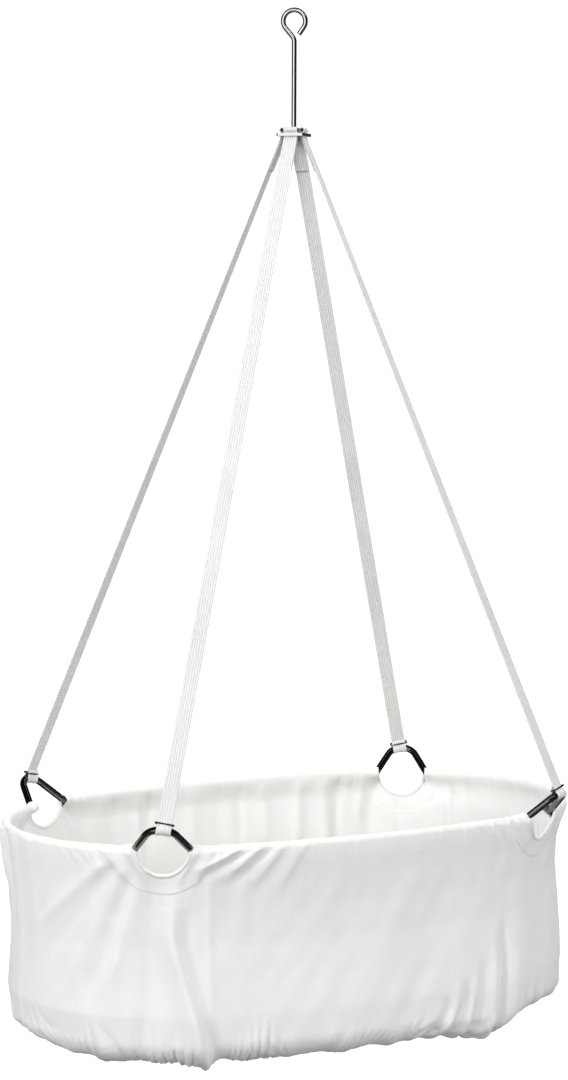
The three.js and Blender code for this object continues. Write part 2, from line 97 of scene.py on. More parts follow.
SLEEVE_RADIUS = 0.0068
BOTTOM_EDGE = 0.034  # radius of the tub's bottom edge
TUCK = 0.014  # canvas that runs on under the base
HEM_DROP = 0.023  # rim hem stitches below the tube
SCOOP_DEPTH = 0.032
FACING = 0.026
FACING_STEP = 0.0009  # the doubled cloth of a facing stands this much higher than the rest
BINDING_RADIUS = 0.0026

CORNERS = {
    "front_left": (-1, -1),
    "front_right": (1, -1),
    "back_left": (-1, 1),
    "back_right": (1, 1),
}

Z = np.array([0.0, 0.0, 1.0])


def unit(v):
    v = np.asarray(v, float)
    return v / np.linalg.norm(v)


def smoothstep(low, high, x):
    t = np.clip((x - low) / (high - low), 0, 1)
    return t * t * (3 - 2 * t)


# ---- settings ----


class CradleSizes(bpy.types.PropertyGroup):
    canvas_thickness: FloatProperty(
        name="Canvas thickness", description="Thickness of the tub's canvas",
        default=0.0013, min=0.0005, max=0.003, unit="LENGTH", precision=4)
    fold_strength: FloatProperty(
        name="Fold strength", description="How deep the folds and gathers are",
        default=1.0, min=0.0, max=2.0, subtype="FACTOR")
    stitch_length: FloatProperty(
        name="Stitch length", description="Length of one stitch",
        default=0.0026, min=0.001, max=0.006, unit="LENGTH", precision=4)
    stitch_pitch: FloatProperty(
        name="Stitch pitch", description="Distance from one stitch to the next",
        default=0.0036, min=0.002, max=0.01, unit="LENGTH", precision=4)
    tube_sides: IntProperty(
        name="Tube sides", description="Sides of each steel tube's section",
        default=28, min=12, max=64)


class CradleColours(bpy.types.PropertyGroup):
    canvas: FloatVectorProperty(
        name="Canvas", description="Colour of the cotton canvas",
        subtype="COLOR", size=3, min=0, max=1, default=(0.86, 0.857, 0.845))
    webbing: FloatVectorProperty(
        name="Webbing", description="Colour of the straps",
        subtype="COLOR", size=3, min=0, max=1, default=(0.86, 0.86, 0.848))
    steel: FloatVectorProperty(
        name="Steel", description="Colour of the polished steel",
        subtype="COLOR", size=3, min=0, max=1, default=(0.88, 0.88, 0.89))
    wood: FloatVectorProperty(
        name="Plywood", description="Colour of the base board",
        subtype="COLOR", size=3, min=0, max=1, default=(0.62, 0.44, 0.25))


# ---- meshes ----


def link_object(name, data):
    obj = bpy.data.objects.new(name, data)
    bpy.context.scene.collection.objects.link(obj)
    return obj


def new_mesh_object(name, verts, faces, uv=None):
    """A mesh object at the origin, with its place in its mesh. uv has one pair for each vertex."""
    mesh = bpy.data.meshes.new(name)
    mesh.from_pydata([tuple(v) for v in verts], [], [tuple(f) for f in faces])
    mesh.polygons.foreach_set("use_smooth", [True] * len(mesh.polygons))
    if uv is not None:
        layer = mesh.uv_layers.new(name="cloth")
        loops = np.empty(len(mesh.loops), int)
        mesh.loops.foreach_get("vertex_index", loops)
        layer.data.foreach_set("uv", np.asarray(uv, float)[loops].ravel())
    mesh.validate()
    return link_object(name, mesh)


def grid_faces(rows, columns, closed_rows=False, closed_columns=False):
    """Quads of a grid of points stored row by row."""
    r = np.arange(rows if closed_rows else rows - 1)
    c = np.arange(columns if closed_columns else columns - 1)
    r, c = (a.ravel() for a in np.meshgrid(r, c, indexing="ij"))
    r2, c2 = (r + 1) % rows, (c + 1) % columns
    return np.stack([r * columns + c, r2 * columns + c, r2 * columns + c2, r * columns + c2], 1)


def fix_normals(obj):
    """Turns every face outwards."""
    bm = bmesh.new()
    bm.from_mesh(obj.data)
    bmesh.ops.recalc_face_normals(bm, faces=bm.faces)
    bm.to_mesh(obj.data)
    bm.free()


def finish_piece(obj, material, body, slot, *replaced):
    """Gives a piece its material and its body, and hides the frame's pieces that it stands for. The slot is
    not used.
    """
    obj.data.materials.clear()
    obj.data.materials.append(material)
    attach(obj, body)
    if replaced:
        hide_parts(*replaced)
    return obj


# ---- paths ----


def arc_points(centre, u, v, radius, start, finish, step):
    """Points along an arc in the plane of u and v."""
    count = max(2, int(abs(finish - start) * radius / step) + 1)
    angles = np.linspace(start, finish, count)
    return centre + radius * (np.outer(np.cos(angles), u) + np.outer(np.sin(angles), v))


def bend_arc(a, b, c, radius):
    """The round bend between the lines a-b and b-c: centre, its two directions and its angle."""
    back, ahead = unit(a - b), unit(c - b)
    half = math.acos(float(np.clip(back @ ahead, -1, 1))) / 2
    centre = b + unit(back + ahead) * radius / math.sin(half)
    u = unit(b + back * radius / math.tan(half) - centre)
    return centre, u, -back, math.pi - 2 * half


def bent_path(corners, radii, step):
    """Points along straight runs with a round bend at each inner corner."""
    points = [corners[0]]
    for i, radius in enumerate(radii, start=1):
        centre, u, v, angle = bend_arc(corners[i - 1], corners[i], corners[i + 1], radius)
        turn = arc_points(centre, u, v, radius, 0, angle, step)
        points.extend(straight(points[-1], turn[0], step)[1:-1])
        points.extend(turn)
    points.extend(straight(points[-1], corners[-1], step)[1:])
    return np.array(points)


def straight(a, b, step):
    count = max(2, int(np.linalg.norm(b - a) / step) + 1)
    return [a + (b - a) * t for t in np.linspace(0, 1, count)]


def path_frames(points):
    """Tangents and two turning-free side directions along a path."""
    tangents = np.gradient(points, axis=0)
    tangents /= np.linalg.norm(tangents, axis=1)[:, None]
    side = unit(np.cross(tangents[0], [0.31, 0.17, 0.93]))
    sides = []
    for tangent in tangents:
        side = unit(side - tangent * (side @ tangent))
        sides.append(side)
    sides = np.array(sides)
    return tangents, sides, np.cross(tangents, sides)


def tube_mesh(points, radius, sides, rounded=False):
    """Rings round a path, closed at both ends with flat or rounded caps."""
    points = np.asarray(points, float)
    tangents, su, sv = path_frames(points)
    radii = np.full(len(points), float(radius))
    if rounded:
        caps = np.linspace(0, math.pi / 2, 6)[1:]
        inset = radius * np.sin(caps)
        grow = radius * np.cos(caps)
        head = points[0] - np.outer(inset, tangents[0])
        tail = points[-1] + np.outer(inset, tangents[-1])
        points = np.vstack([head[::-1], points, tail])
        radii = np.concatenate([grow[::-1], radii, grow])
        radii = np.maximum(radii, radius * 0.02)
        su = np.vstack([np.repeat(su[:1], len(caps), 0), su, np.repeat(su[-1:], len(caps), 0)])
        sv = np.vstack([np.repeat(sv[:1], len(caps), 0), sv, np.repeat(sv[-1:], len(caps), 0)])
    turn = np.linspace(0, 2 * math.pi, sides, endpoint=False)
    ring = np.cos(turn)[None, :, None] * su[:, None, :] + np.sin(turn)[None, :, None] * sv[:, None, :]
    verts = (points[:, None, :] + radii[:, None, None] * ring).reshape(-1, 3)
    faces = [tuple(f) for f in grid_faces(len(points), sides, closed_columns=True)]
    last = (len(points) - 1) * sides
    faces.append(tuple(range(sides)))
    faces.append(tuple(range(last + sides - 1, last - 1, -1)))
    return verts, faces


def tube_object(name, points, radius, sides, rounded=False):
    verts, faces = tube_mesh(points, radius, sides, rounded)
    obj = new_mesh_object(name, verts, faces)
    fix_normals(obj)
    return obj


# ---- shared shader node groups ----


def group(name, inputs, outputs):
    """A new shader node group with these sockets, and its two end nodes."""
    tree = bpy.data.node_groups.new(name, "ShaderNodeTree")
    for label, kind, value in inputs:
        socket = tree.interface.new_socket(label, in_out="INPUT", socket_type="NodeSocket" + kind)
        if value is not None:
            socket.default_value = value
    for label, kind in outputs:
        tree.interface.new_socket(label, in_out="OUTPUT", socket_type="NodeSocket" + kind)
    return tree, tree.nodes.new("NodeGroupInput"), tree.nodes.new("NodeGroupOutput")


def maths(tree, operation, a, b=None, c=None):
    """The result of a Math node on sockets or numbers."""
    node = tree.nodes.new("ShaderNodeMath")
    node.operation = operation
    for socket, value in zip(node.inputs, (a, b, c)):
        if value is None:
            continue
        if isinstance(value, (int, float)):
            socket.default_value = value
        else:
            tree.links.new(value, socket)
    return node.outputs[0]


def noise(tree, vector, scale, detail=3.0, roughness=0.55):
    node = tree.nodes.new("ShaderNodeTexNoise")
    tree.links.new(vector, node.inputs["Vector"])
    if isinstance(scale, (int, float)):
        node.inputs["Scale"].default_value = scale
    else:
        tree.links.new(scale, node.inputs["Scale"])
    node.inputs["Detail"].default_value = detail
    node.inputs["Roughness"].default_value = roughness
    return node.outputs["Fac"]


def spread(tree, value, low, high, to_low, to_high):
    """A value mapped from one range to another."""
    node = tree.nodes.new("ShaderNodeMapRange")
    tree.links.new(value, node.inputs["Value"])
    for label, number in (("From Min", low), ("From Max", high), ("To Min", to_low), ("To Max", to_high)):
        node.inputs[label].default_value = number
    return node.outputs["Result"]


def plain_weave_group():
    """Over-and-under threads on a cloth map in metres: height, and a tone that is painted shade between the
    threads with random slub streaks.
    """
    tree, start, end = group(
        "plain_weave",
        [("Vector", "Vector", None), ("Threads per metre", "Float", 1400.0), ("Slub", "Float", 0.35)],
        [("Height", "Float"), ("Gap shade and slub", "Float")])
    vector = start.outputs["Vector"]
    drift = noise(tree, vector, 60.0, 2.0)
    scaled = tree.nodes.new("ShaderNodeVectorMath")
    scaled.operation = "SCALE"
    tree.links.new(vector, scaled.inputs[0])
    tree.links.new(start.outputs["Threads per metre"], scaled.inputs["Scale"])
    apart = tree.nodes.new("ShaderNodeSeparateXYZ")
    tree.links.new(scaled.outputs[0], apart.inputs[0])
    u = maths(tree, "ADD", apart.outputs["X"], drift)
    v = maths(tree, "ADD", apart.outputs["Y"], drift)
    parity = maths(tree, "MODULO", maths(tree, "ADD", maths(tree, "FLOOR", u), maths(tree, "FLOOR", v)), 2.0)
    over = maths(tree, "ABSOLUTE", parity)
    warp = maths(tree, "ABSOLUTE", maths(tree, "SINE", maths(tree, "MULTIPLY", u, math.pi)))
    weft = maths(tree, "ABSOLUTE", maths(tree, "SINE", maths(tree, "MULTIPLY", v, math.pi)))
    under = maths(tree, "SUBTRACT", 1.0, over)
    high = maths(tree, "ADD", maths(tree, "MULTIPLY", warp, over), maths(tree, "MULTIPLY", weft, under))
    streak = noise(tree, vector, 900.0, 2.0)
    slub = maths(tree, "MULTIPLY", streak, start.outputs["Slub"])
    tree.links.new(maths(tree, "ADD", high, slub), end.inputs["Height"])
    # painted shade: lighter on the crowns of the threads, darker between them, plus random slub streaks
    shade = maths(tree, "ADD", maths(tree, "MULTIPLY", high, 0.5), maths(tree, "MULTIPLY", streak, 0.5))
    tree.links.new(shade, end.inputs["Gap shade and slub"])
    return tree


def webbing_ribs_group():
    """Lengthwise ribs on a cloth map whose U runs across the webbing, in metres: their height, and a mask of
    painted shade in the grooves between them.
    """
    tree, start, end = group(
        "webbing_ribs",
        [("Vector", "Vector", None), ("Width", "Float", 0.02), ("Ribs", "Float", 6.0)],
        [("Height", "Float"), ("Groove shade", "Float")])
    apart = tree.nodes.new("ShaderNodeSeparateXYZ")
    tree.links.new(start.outputs["Vector"], apart.inputs[0])
    across = maths(tree, "DIVIDE", apart.outputs["X"], start.outputs["Width"])
    turns = maths(tree, "MULTIPLY", maths(tree, "ADD", across, 0.5), start.outputs["Ribs"])
    wave = maths(tree, "ABSOLUTE", maths(tree, "SINE", maths(tree, "MULTIPLY", turns, math.pi)))
    tree.links.new(maths(tree, "POWER", wave, 0.5), end.inputs["Height"])
    # painted shade: 1 in the grooves between the ribs, 0 on their crowns
    groove = maths(tree, "SUBTRACT", 1.0, spread(tree, wave, 0.0, 0.42, 0.0, 1.0))
    tree.links.new(groove, end.inputs["Groove shade"])
    return tree


def mottle_group():
    """Broad and fine variation of a surface: a mask from 0 to 1."""
    tree, start, end = group(
        "mottle",
        [("Vector", "Vector", None), ("Broad", "Float", 7.0), ("Fine", "Float", 160.0)],
        [("Mask", "Float")])
    broad = noise(tree, start.outputs["Vector"], start.outputs["Broad"], 4.0)
    fine = noise(tree, start.outputs["Vector"], start.outputs["Fine"], 3.0)
    total = maths(tree, "ADD", maths(tree, "MULTIPLY", broad, 0.65), maths(tree, "MULTIPLY", fine, 0.35))
    tree.links.new(spread(tree, total, 0.3, 0.7, 0.0, 1.0), end.inputs["Mask"])
    return tree


def polish_group():
    """Fine rubbing marks and smudges on polished metal: a roughness and a height."""
    tree, start, end = group(
        "polish_marks",
        [("Vector", "Vector", None), ("Base roughness", "Float", 0.1), ("Smudge", "Float", 0.1)],
        [("Roughness", "Float"), ("Height", "Float")])
    smudge = noise(tree, start.outputs["Vector"], 55.0, 4.0)
    mapping = tree.nodes.new("ShaderNodeMapping")
    mapping.inputs["Scale"].default_value = (900.0, 900.0, 60.0)
    tree.links.new(start.outputs["Vector"], mapping.inputs["Vector"])
    marks = noise(tree, mapping.outputs["Vector"], 1.0, 2.0)
    rough = maths(tree, "ADD", start.outputs["Base roughness"],
                  maths(tree, "MULTIPLY", maths(tree, "MULTIPLY", smudge, smudge), start.outputs["Smudge"]))
    tree.links.new(rough, end.inputs["Roughness"])
    tree.links.new(marks, end.inputs["Height"])
    return tree


GROUPS = {}


def use_group(tree, name):
    node = tree.nodes.new("ShaderNodeGroup")
    node.node_tree = GROUPS[name]
    return node


# ---- materials ----


def new_material(name, uses_cloth_map=False):
    """A material with its Principled shader, and the coordinates that its pattern follows."""
    material = bpy.data.materials.new(name)
    material.use_nodes = True
    tree = material.node_tree
    shader = tree.nodes["Principled BSDF"]
    if uses_cloth_map:
        coordinates = tree.nodes.new("ShaderNodeUVMap")
        coordinates.uv_map = "cloth"
        vector = coordinates.outputs["UV"]
    else:
        coordinates = tree.nodes.new("ShaderNodeTexCoord")
        vector = coordinates.outputs["Object"]
    return material, tree, shader, vector


def mixed_colour(tree, mask, dark, light):
    """A colour from dark to light as the mask rises."""
    ramp = tree.nodes.new("ShaderNodeValToRGB")
    ramp.color_ramp.elements[0].color = (*dark, 1)
    ramp.color_ramp.elements[1].color = (*light, 1)
    tree.links.new(mask, ramp.inputs["Fac"])
    return ramp.outputs["Color"]


def add_bump(tree, shader, height, strength, distance, before=None):
    bump = tree.nodes.new("ShaderNodeBump")
    bump.inputs["Strength"].default_value = strength
    bump.inputs["Distance"].default_value = distance
    tree.links.new(height, bump.inputs["Height"])
    if before is not None:
        tree.links.new(before, bump.inputs["Normal"])
    tree.links.new(bump.outputs["Normal"], shader.inputs["Normal"])
    return bump.outputs["Normal"]


def cloth_material(name, colour, threads, weave_depth, shade=0.9, fuzz=0.35, wrinkle=0.0):
    """Woven cotton: threads on the cloth map with painted shade between them, soft mottling and a faint
    fuzz.
    """
    material, tree, shader, vector = new_material(name, uses_cloth_map=True)
    weave = use_group(tree, "plain_weave")
    weave.inputs["Threads per metre"].default_value = threads
    mottle = use_group(tree, "mottle")
    tree.links.new(vector, weave.inputs["Vector"])
    tree.links.new(vector, mottle.inputs["Vector"])
    # colour: painted shade between the threads, with slub streaks and random mottling
    mask = maths(tree, "ADD", maths(tree, "MULTIPLY", weave.outputs["Gap shade and slub"], 0.6),
                 maths(tree, "MULTIPLY", mottle.outputs["Mask"], 0.4))
    dark = [c * shade for c in colour]
    tree.links.new(mixed_colour(tree, mask, dark, colour), shader.inputs["Base Color"])
    tree.links.new(spread(tree, mottle.outputs["Mask"], 0.0, 1.0, 0.82, 0.95), shader.inputs["Roughness"])
    shader.inputs["Sheen Weight"].default_value = fuzz
    shader.inputs["Sheen Roughness"].default_value = 0.5
    shader.inputs["Specular IOR Level"].default_value = 0.25
    crumple = None
    if wrinkle:
        crumple = add_bump(tree, shader, noise(tree, vector, 22.0, 5.0, 0.6), wrinkle, 0.004)
    add_bump(tree, shader, weave.outputs["Height"], 0.5, weave_depth, crumple)
    return material


def webbing_material(colour):
    """Woven webbing: lengthwise ribs crossed by fine weft threads, with painted shade darkening the grooves
    between the ribs and between the threads.
    """
    material, tree, shader, vector = new_material("ribbed_webbing", uses_cloth_map=True)
    ribs = use_group(tree, "webbing_ribs")
    weave = use_group(tree, "plain_weave")
    weave.inputs["Threads per metre"].default_value = 1100.0
    mottle = use_group(tree, "mottle")
    for node in (ribs, weave, mottle):
        tree.links.new(vector, node.inputs["Vector"])
    worn = maths(tree, "MULTIPLY", mottle.outputs["Mask"], 0.35)
    # colour: painted shade between the weft threads and in the rib grooves, with random mottling
    light = maths(tree, "ADD", maths(tree, "MULTIPLY", weave.outputs["Gap shade and slub"], 0.65), worn)
    mask = maths(tree, "SUBTRACT", light, maths(tree, "MULTIPLY", ribs.outputs["Groove shade"], 0.75))
    dark = [c * 0.66 for c in colour]
    tree.links.new(mixed_colour(tree, mask, dark, colour), shader.inputs["Base Color"])
    tree.links.new(spread(tree, mottle.outputs["Mask"], 0.0, 1.0, 0.75, 0.9), shader.inputs["Roughness"])
    shader.inputs["Sheen Weight"].default_value = 0.25
    shader.inputs["Specular IOR Level"].default_value = 0.25
    coarse = add_bump(tree, shader, ribs.outputs["Height"], 0.8, 0.0006)
    add_bump(tree, shader, weave.outputs["Height"], 0.4, 0.0003, coarse)
    return material


def steel_material(name, colour, roughness, smudge):
    """Polished metal with fine rubbing marks and smudges."""
    material, tree, shader, vector = new_material(name)
    polish = use_group(tree, "polish_marks")
    polish.inputs["Base roughness"].default_value = roughness
    polish.inputs["Smudge"].default_value = smudge
    mottle = use_group(tree, "mottle")
    mottle.inputs["Broad"].default_value = 30.0
    mottle.inputs["Fine"].default_value = 700.0
    tree.links.new(vector, polish.inputs["Vector"])
    tree.links.new(vector, mottle.inputs["Vector"])
    dark = [c * 0.86 for c in colour]
    tree.links.new(mixed_colour(tree, mottle.outputs["Mask"], dark, colour), shader.inputs["Base Color"])
    tree.links.new(polish.outputs["Roughness"], shader.inputs["Roughness"])
    shader.inputs["Metallic"].default_value = 1.0
    add_bump(tree, shader, polish.outputs["Height"], 0.12, 0.0001)
    return material


def nylon_material():
    """Natural nylon, a little uneven in colour and gloss."""
    material, tree, shader, vector = new_material("natural_nylon")
    mottle = use_group(tree, "mottle")
    mottle.inputs["Fine"].default_value = 1800.0
    tree.links.new(vector, mottle.inputs["Vector"])
    tree.links.new(mixed_colour(tree, mottle.outputs["Mask"], (0.66, 0.64, 0.58), (0.76, 0.74, 0.68)),
                   shader.inputs["Base Color"])
    tree.links.new(spread(tree, mottle.outputs["Mask"], 0.0, 1.0, 0.35, 0.55), shader.inputs["Roughness"])
    add_bump(tree, shader, mottle.outputs["Mask"], 0.15, 0.0002)
    return material


def plywood_material(colour):
    """Birch face veneer: long growth rings along X, fine pores and soft colour bands."""
    material, tree, shader, vector = new_material("birch_plywood")
    mapping = tree.nodes.new("ShaderNodeMapping")
    mapping.inputs["Scale"].default_value = (1.2, 14.0, 60.0)
    tree.links.new(vector, mapping.inputs["Vector"])
    wave = tree.nodes.new("ShaderNodeTexWave")
    wave.bands_direction = "Y"
    wave.inputs["Scale"].default_value = 2.2
    wave.inputs["Distortion"].default_value = 9.0
    wave.inputs["Detail"].default_value = 3.0
    tree.links.new(mapping.outputs["Vector"], wave.inputs["Vector"])
    pores = noise(tree, mapping.outputs["Vector"], 60.0, 3.0)
    bands = maths(tree, "MULTIPLY", wave.outputs["Fac"], 0.6)
    mask = maths(tree, "ADD", bands, maths(tree, "MULTIPLY", pores, 0.4))
    light = [min(1.0, c * 1.18) for c in colour]
    tree.links.new(mixed_colour(tree, mask, colour, light), shader.inputs["Base Color"])
    tree.links.new(spread(tree, pores, 0.3, 0.7, 0.5, 0.7), shader.inputs["Roughness"])
    add_bump(tree, shader, pores, 0.2, 0.0003)
    return material


MATERIALS = {}


def build_materials():
    colours = bpy.context.scene.cradle_colours
    GROUPS["plain_weave"] = plain_weave_group()
    GROUPS["webbing_ribs"] = webbing_ribs_group()
    GROUPS["mottle"] = mottle_group()
    GROUPS["polish_marks"] = polish_group()
    canvas = tuple(colours.canvas)
    MATERIALS["canvas"] = cloth_material("cotton_canvas", canvas, 1250.0, 0.00025, wrinkle=0.2)
    MATERIALS["webbing"] = webbing_material(tuple(colours.webbing))
    MATERIALS["ticking"] = cloth_material("cotton_ticking", (0.80, 0.79, 0.76), 1500.0, 0.0002)
    MATERIALS["elastic"] = cloth_material("covered_elastic", (0.74, 0.73, 0.70), 1800.0, 0.0003, 0.8)
    # the thread is a little darker than the canvas: its own tone plus painted shade for the groove the
    # stitches lie in
    MATERIALS["thread"] = cloth_material("sewing_thread", (0.82, 0.815, 0.80), 3000.0, 0.0001, 0.85)
    MATERIALS["steel"] = steel_material("polished_steel", tuple(colours.steel), 0.07, 0.10)
    # the bows get a darker copy of the polished steel: painted shade for the dark reflections they show
    MATERIALS["bow"] = steel_material("polished_steel_painted_shade", (0.24, 0.24, 0.245), 0.08, 0.10)
    # the pins and keepers get a near-black copy of the polished steel: painted shade for the black look of
    # the chrome wire
    MATERIALS["wire"] = steel_material("dark_wire", (0.13, 0.13, 0.135), 0.16, 0.14)
    MATERIALS["nylon"] = nylon_material()
    MATERIALS["plywood"] = plywood_material(tuple(colours.wood))


# ---- stitches, made by geometry nodes along a path ----


def stitch_tree(material):
    """Curve in, one small rounded stitch every pitch along it, as real faces."""
    tree = bpy.data.node_groups.new("stitch_row", "GeometryNodeTree")
    face = tree.interface
    face.new_socket("Geometry", in_out="INPUT", socket_type="NodeSocketGeometry")
    for label, value in (("Pitch", 0.0036), ("Length", 0.0026), ("Radius", 0.00035)):
        socket = face.new_socket(label, in_out="INPUT", socket_type="NodeSocketFloat")
        socket.default_value = value
    face.new_socket("Geometry", in_out="OUTPUT", socket_type="NodeSocketGeometry")
    nodes, link = tree.nodes, tree.links.new
    start, end = nodes.new("NodeGroupInput"), nodes.new("NodeGroupOutput")
    to_curve = nodes.new("GeometryNodeMeshToCurve")
    link(start.outputs["Geometry"], to_curve.inputs["Mesh"])
    rows = nodes.new("GeometryNodeResampleCurve")
    rows.mode = "LENGTH"
    link(to_curve.outputs["Curve"], rows.inputs["Curve"])
    link(start.outputs["Pitch"], rows.inputs["Length"])
    to_points = nodes.new("GeometryNodeCurveToPoints")
    to_points.mode = "EVALUATED"
    link(rows.outputs["Curve"], to_points.inputs["Curve"])
    ball = nodes.new("GeometryNodeMeshUVSphere")
    ball.inputs["Segments"].default_value = 6
    ball.inputs["Rings"].default_value = 5
    ball.inputs["Radius"].default_value = 1.0
    half = nodes.new("ShaderNodeMath")
    half.operation = "MULTIPLY"
    half.inputs[1].default_value = 0.5
    link(start.outputs["Length"], half.inputs[0])
    size = nodes.new("ShaderNodeCombineXYZ")
    link(start.outputs["Radius"], size.inputs["X"])
    link(start.outputs["Radius"], size.inputs["Y"])
    link(half.outputs[0], size.inputs["Z"])
    place = nodes.new("GeometryNodeInstanceOnPoints")
    link(to_points.outputs["Points"], place.inputs["Points"])
    link(ball.outputs["Mesh"], place.inputs["Instance"])
    turn = nodes.new("FunctionNodeAlignRotationToVector")
    turn.axis = "Z"
    link(to_points.outputs["Tangent"], turn.inputs["Vector"])
    link(turn.outputs["Rotation"], place.inputs["Rotation"])
    link(size.outputs[0], place.inputs["Scale"])
    real = nodes.new("GeometryNodeRealizeInstances")
    link(place.outputs["Instances"], real.inputs["Geometry"])
    paint = nodes.new("GeometryNodeSetMaterial")
    paint.inputs["Material"].default_value = material
    link(real.outputs["Geometry"], paint.inputs["Geometry"])
    link(paint.outputs["Geometry"], end.inputs["Geometry"])
    return tree


def stitch_rows(name, paths, body, slot, radius=0.00035):
    """One plain mesh of stitches along several paths."""
    sizes = bpy.context.scene.cradle_sizes
    verts, edges = [], []
    for path in paths:
        first = len(verts)
        verts.extend(tuple(p) for p in path)
        edges.extend((i, i + 1) for i in range(first, len(verts) - 1))
    mesh = bpy.data.meshes.new(name + "_path")
    mesh.from_pydata(verts, edges, [])
    guide = link_object(name + "_path", mesh)
    tree = bpy.data.node_groups.get("stitch_row") or stitch_tree(MATERIALS["thread"])
    modifier = guide.modifiers.new("stitches", "NODES")
    modifier.node_group = tree
    values = {"Pitch": sizes.stitch_pitch, "Length": sizes.stitch_length, "Radius": radius}
    for item in tree.interface.items_tree:
        if item.item_type == "SOCKET" and item.in_out == "INPUT" and item.name in values:
            modifier[item.identifier] = values[item.name]
    graph = bpy.context.evaluated_depsgraph_get()
    made = bpy.data.meshes.new_from_object(guide.evaluated_get(graph))
    made.name = name
    bpy.data.objects.remove(guide)
    obj = link_object(name, made)
    made.polygons.foreach_set("use_smooth", [True] * len(made.polygons))
    count = len(made.vertices)
    places = np.empty(count * 3)
    made.vertices.foreach_get("co", places)
    places = places.reshape(-1, 3)
    layer = made.uv_layers.get("cloth") or made.uv_layers.new(name="cloth")
    loops = np.empty(len(made.loops), int)
    made.loops.foreach_get("vertex_index", loops)
    layer.data.foreach_set("uv", places[loops][:, :2].ravel())
    return finish_piece(obj, MATERIALS["thread"], body, slot)


# ---- plan of the rim ----


def sag_radius(chord, sag):
    """Radius of an arc from half its chord and its height."""
    return (chord * chord + sag * sag) / (2 * sag)


SIDE_RADIUS = sag_radius(SIDE_FOOT[0], HALF_WIDTH - SIDE_FOOT[1])
END_RADIUS = sag_radius(END_FOOT[1], HALF_LENGTH - END_FOOT[0])
SIDE_SWEEP = math.asin(SIDE_FOOT[0] / SIDE_RADIUS)
END_SWEEP = math.asin(END_FOOT[1] / END_RADIUS)
SIDE_CENTRE_Y = HALF_WIDTH - SIDE_RADIUS
END_CENTRE_X = HALF_LENGTH - END_RADIUS
END_HALF = END_RADIUS * END_SWEEP  # length from the middle of an end to its foot
CHORD = float(np.linalg.norm(SIDE_FOOT - END_FOOT))
SIDE_LENGTH = 2 * SIDE_RADIUS * SIDE_SWEEP
ROUND = 4 * END_HALF + 4 * CHORD + 2 * SIDE_LENGTH  # once round the rim


def rim_plan():
    """Once round the rim from the middle of the right end, anticlockwise, with rounded corners."""
    step = 0.002
    angles = np.arange(0, END_HALF, step) / END_RADIUS
    end = np.c_[END_CENTRE_X + END_RADIUS * np.cos(angles), END_RADIUS * np.sin(angles)]
    chord = np.array(straight(END_FOOT, SIDE_FOOT, step))[:-1]
    angles = SIDE_SWEEP - np.arange(0, SIDE_LENGTH, step) / SIDE_RADIUS
    side = np.c_[SIDE_RADIUS * np.sin(angles), SIDE_CENTRE_Y + SIDE_RADIUS * np.cos(angles)]
    mirror = np.array([-1.0, 1.0])
    left_chord = (chord * mirror)[::-1]
    left_end = (end * mirror)[::-1]
    half = np.vstack([end, chord, side, left_chord, left_end])
    points = np.vstack([half, -half])
    along = np.r_[0, np.cumsum(np.hypot(*np.diff(np.vstack([points, points[:1]]), axis=0).T))]
    even = np.arange(0, along[-1], step)
    closed = np.vstack([points, points[:1]])
    points = np.c_[np.interp(even, along, closed[:, 0]), np.interp(even, along, closed[:, 1])]
    reach = np.arange(-20, 21)
    weights = np.exp(-0.5 * (reach * step / 0.009) ** 2)
    weights /= weights.sum()
    smooth = sum(w * np.roll(points, -k, axis=0) for k, w in zip(reach, weights))
    tangent = np.roll(smooth, -1, axis=0) - np.roll(smooth, 1, axis=0)
    tangent /= np.linalg.norm(tangent, axis=1)[:, None]
    outward = np.c_[tangent[:, 1], -tangent[:, 0]]
    return even * ROUND / along[-1], smooth, outward


PLAN_S, PLAN_XY, PLAN_OUT = rim_plan()

# Where each scoop starts and finishes, going round from the middle of the right end.
SCOOPS = {
    "back_right": (END_HALF, END_HALF + CHORD),
    "back_left": (END_HALF + CHORD + SIDE_LENGTH, END_HALF + 2 * CHORD + SIDE_LENGTH),
    "front_left": (ROUND / 2 + END_HALF, ROUND / 2 + END_HALF + CHORD),
    "front_right": (ROUND - END_HALF - CHORD, ROUND - END_HALF),
}
FRONT = SCOOPS["front_left"][1]  # where the front side starts
MOUTH = -0.004  # from a bow's foot to the sleeve's mouth: the sleeve covers the foot


def plan_at(s):
    """Place and outward direction of the rim at s."""
    s = np.mod(s, ROUND)
    columns = (*PLAN_XY.T, *PLAN_OUT.T)
    x, y, out_x, out_y = (np.interp(s, PLAN_S, column, period=ROUND) for column in columns)
    xy, out = np.stack([x, y], -1), np.stack([out_x, out_y], -1)
    return xy, out / np.linalg.norm(out, axis=-1, keepdims=True)


def round_gap(s, centre):
    """Signed distance round the rim from a place, the short way."""
    return np.mod(s - centre + ROUND / 2, ROUND) - ROUND / 2


# ---- the canvas: a surface given by s, round the rim, and q, down the cloth ----

WALL_FOOT = DEPTH - BOTTOM_EDGE  # q where the bottom edge starts to turn under
TURN_END = WALL_FOOT + BOTTOM_EDGE * math.pi / 2
Q_END = TURN_END + TUCK
Q_TOP = -SLEEVE_RADIUS * math.pi  # q at the inside of the sleeve
HEM_INSIDE = 0.040  # the sleeve's inner layer runs on down to here, flat against the wall
Q_START = Q_TOP - HEM_INSIDE


def ridge(s, q, s0, q0, s1, q1, width, height, fade=0.03, tilt=0.0):
    """A fold that runs from (s0, q0) to (s1, q1), with a steeper side where tilt isn't 0."""
    run = np.clip((q - q0) / (q1 - q0), -0.2, 1.2)
    centre = s0 + (s1 - s0) * np.clip(run, 0, 1)
    x = round_gap(s, centre) / width
    x = np.where(x > 0, x * (1 + tilt), x * (1 - tilt))
    body = np.exp(-x * x)
    low, high = min(q0, q1), max(q0, q1)
    ends = smoothstep(low - fade, low + fade * 0.4, q) * (1 - smoothstep(high - fade * 0.4, high + fade, q))
    return height * body * ends


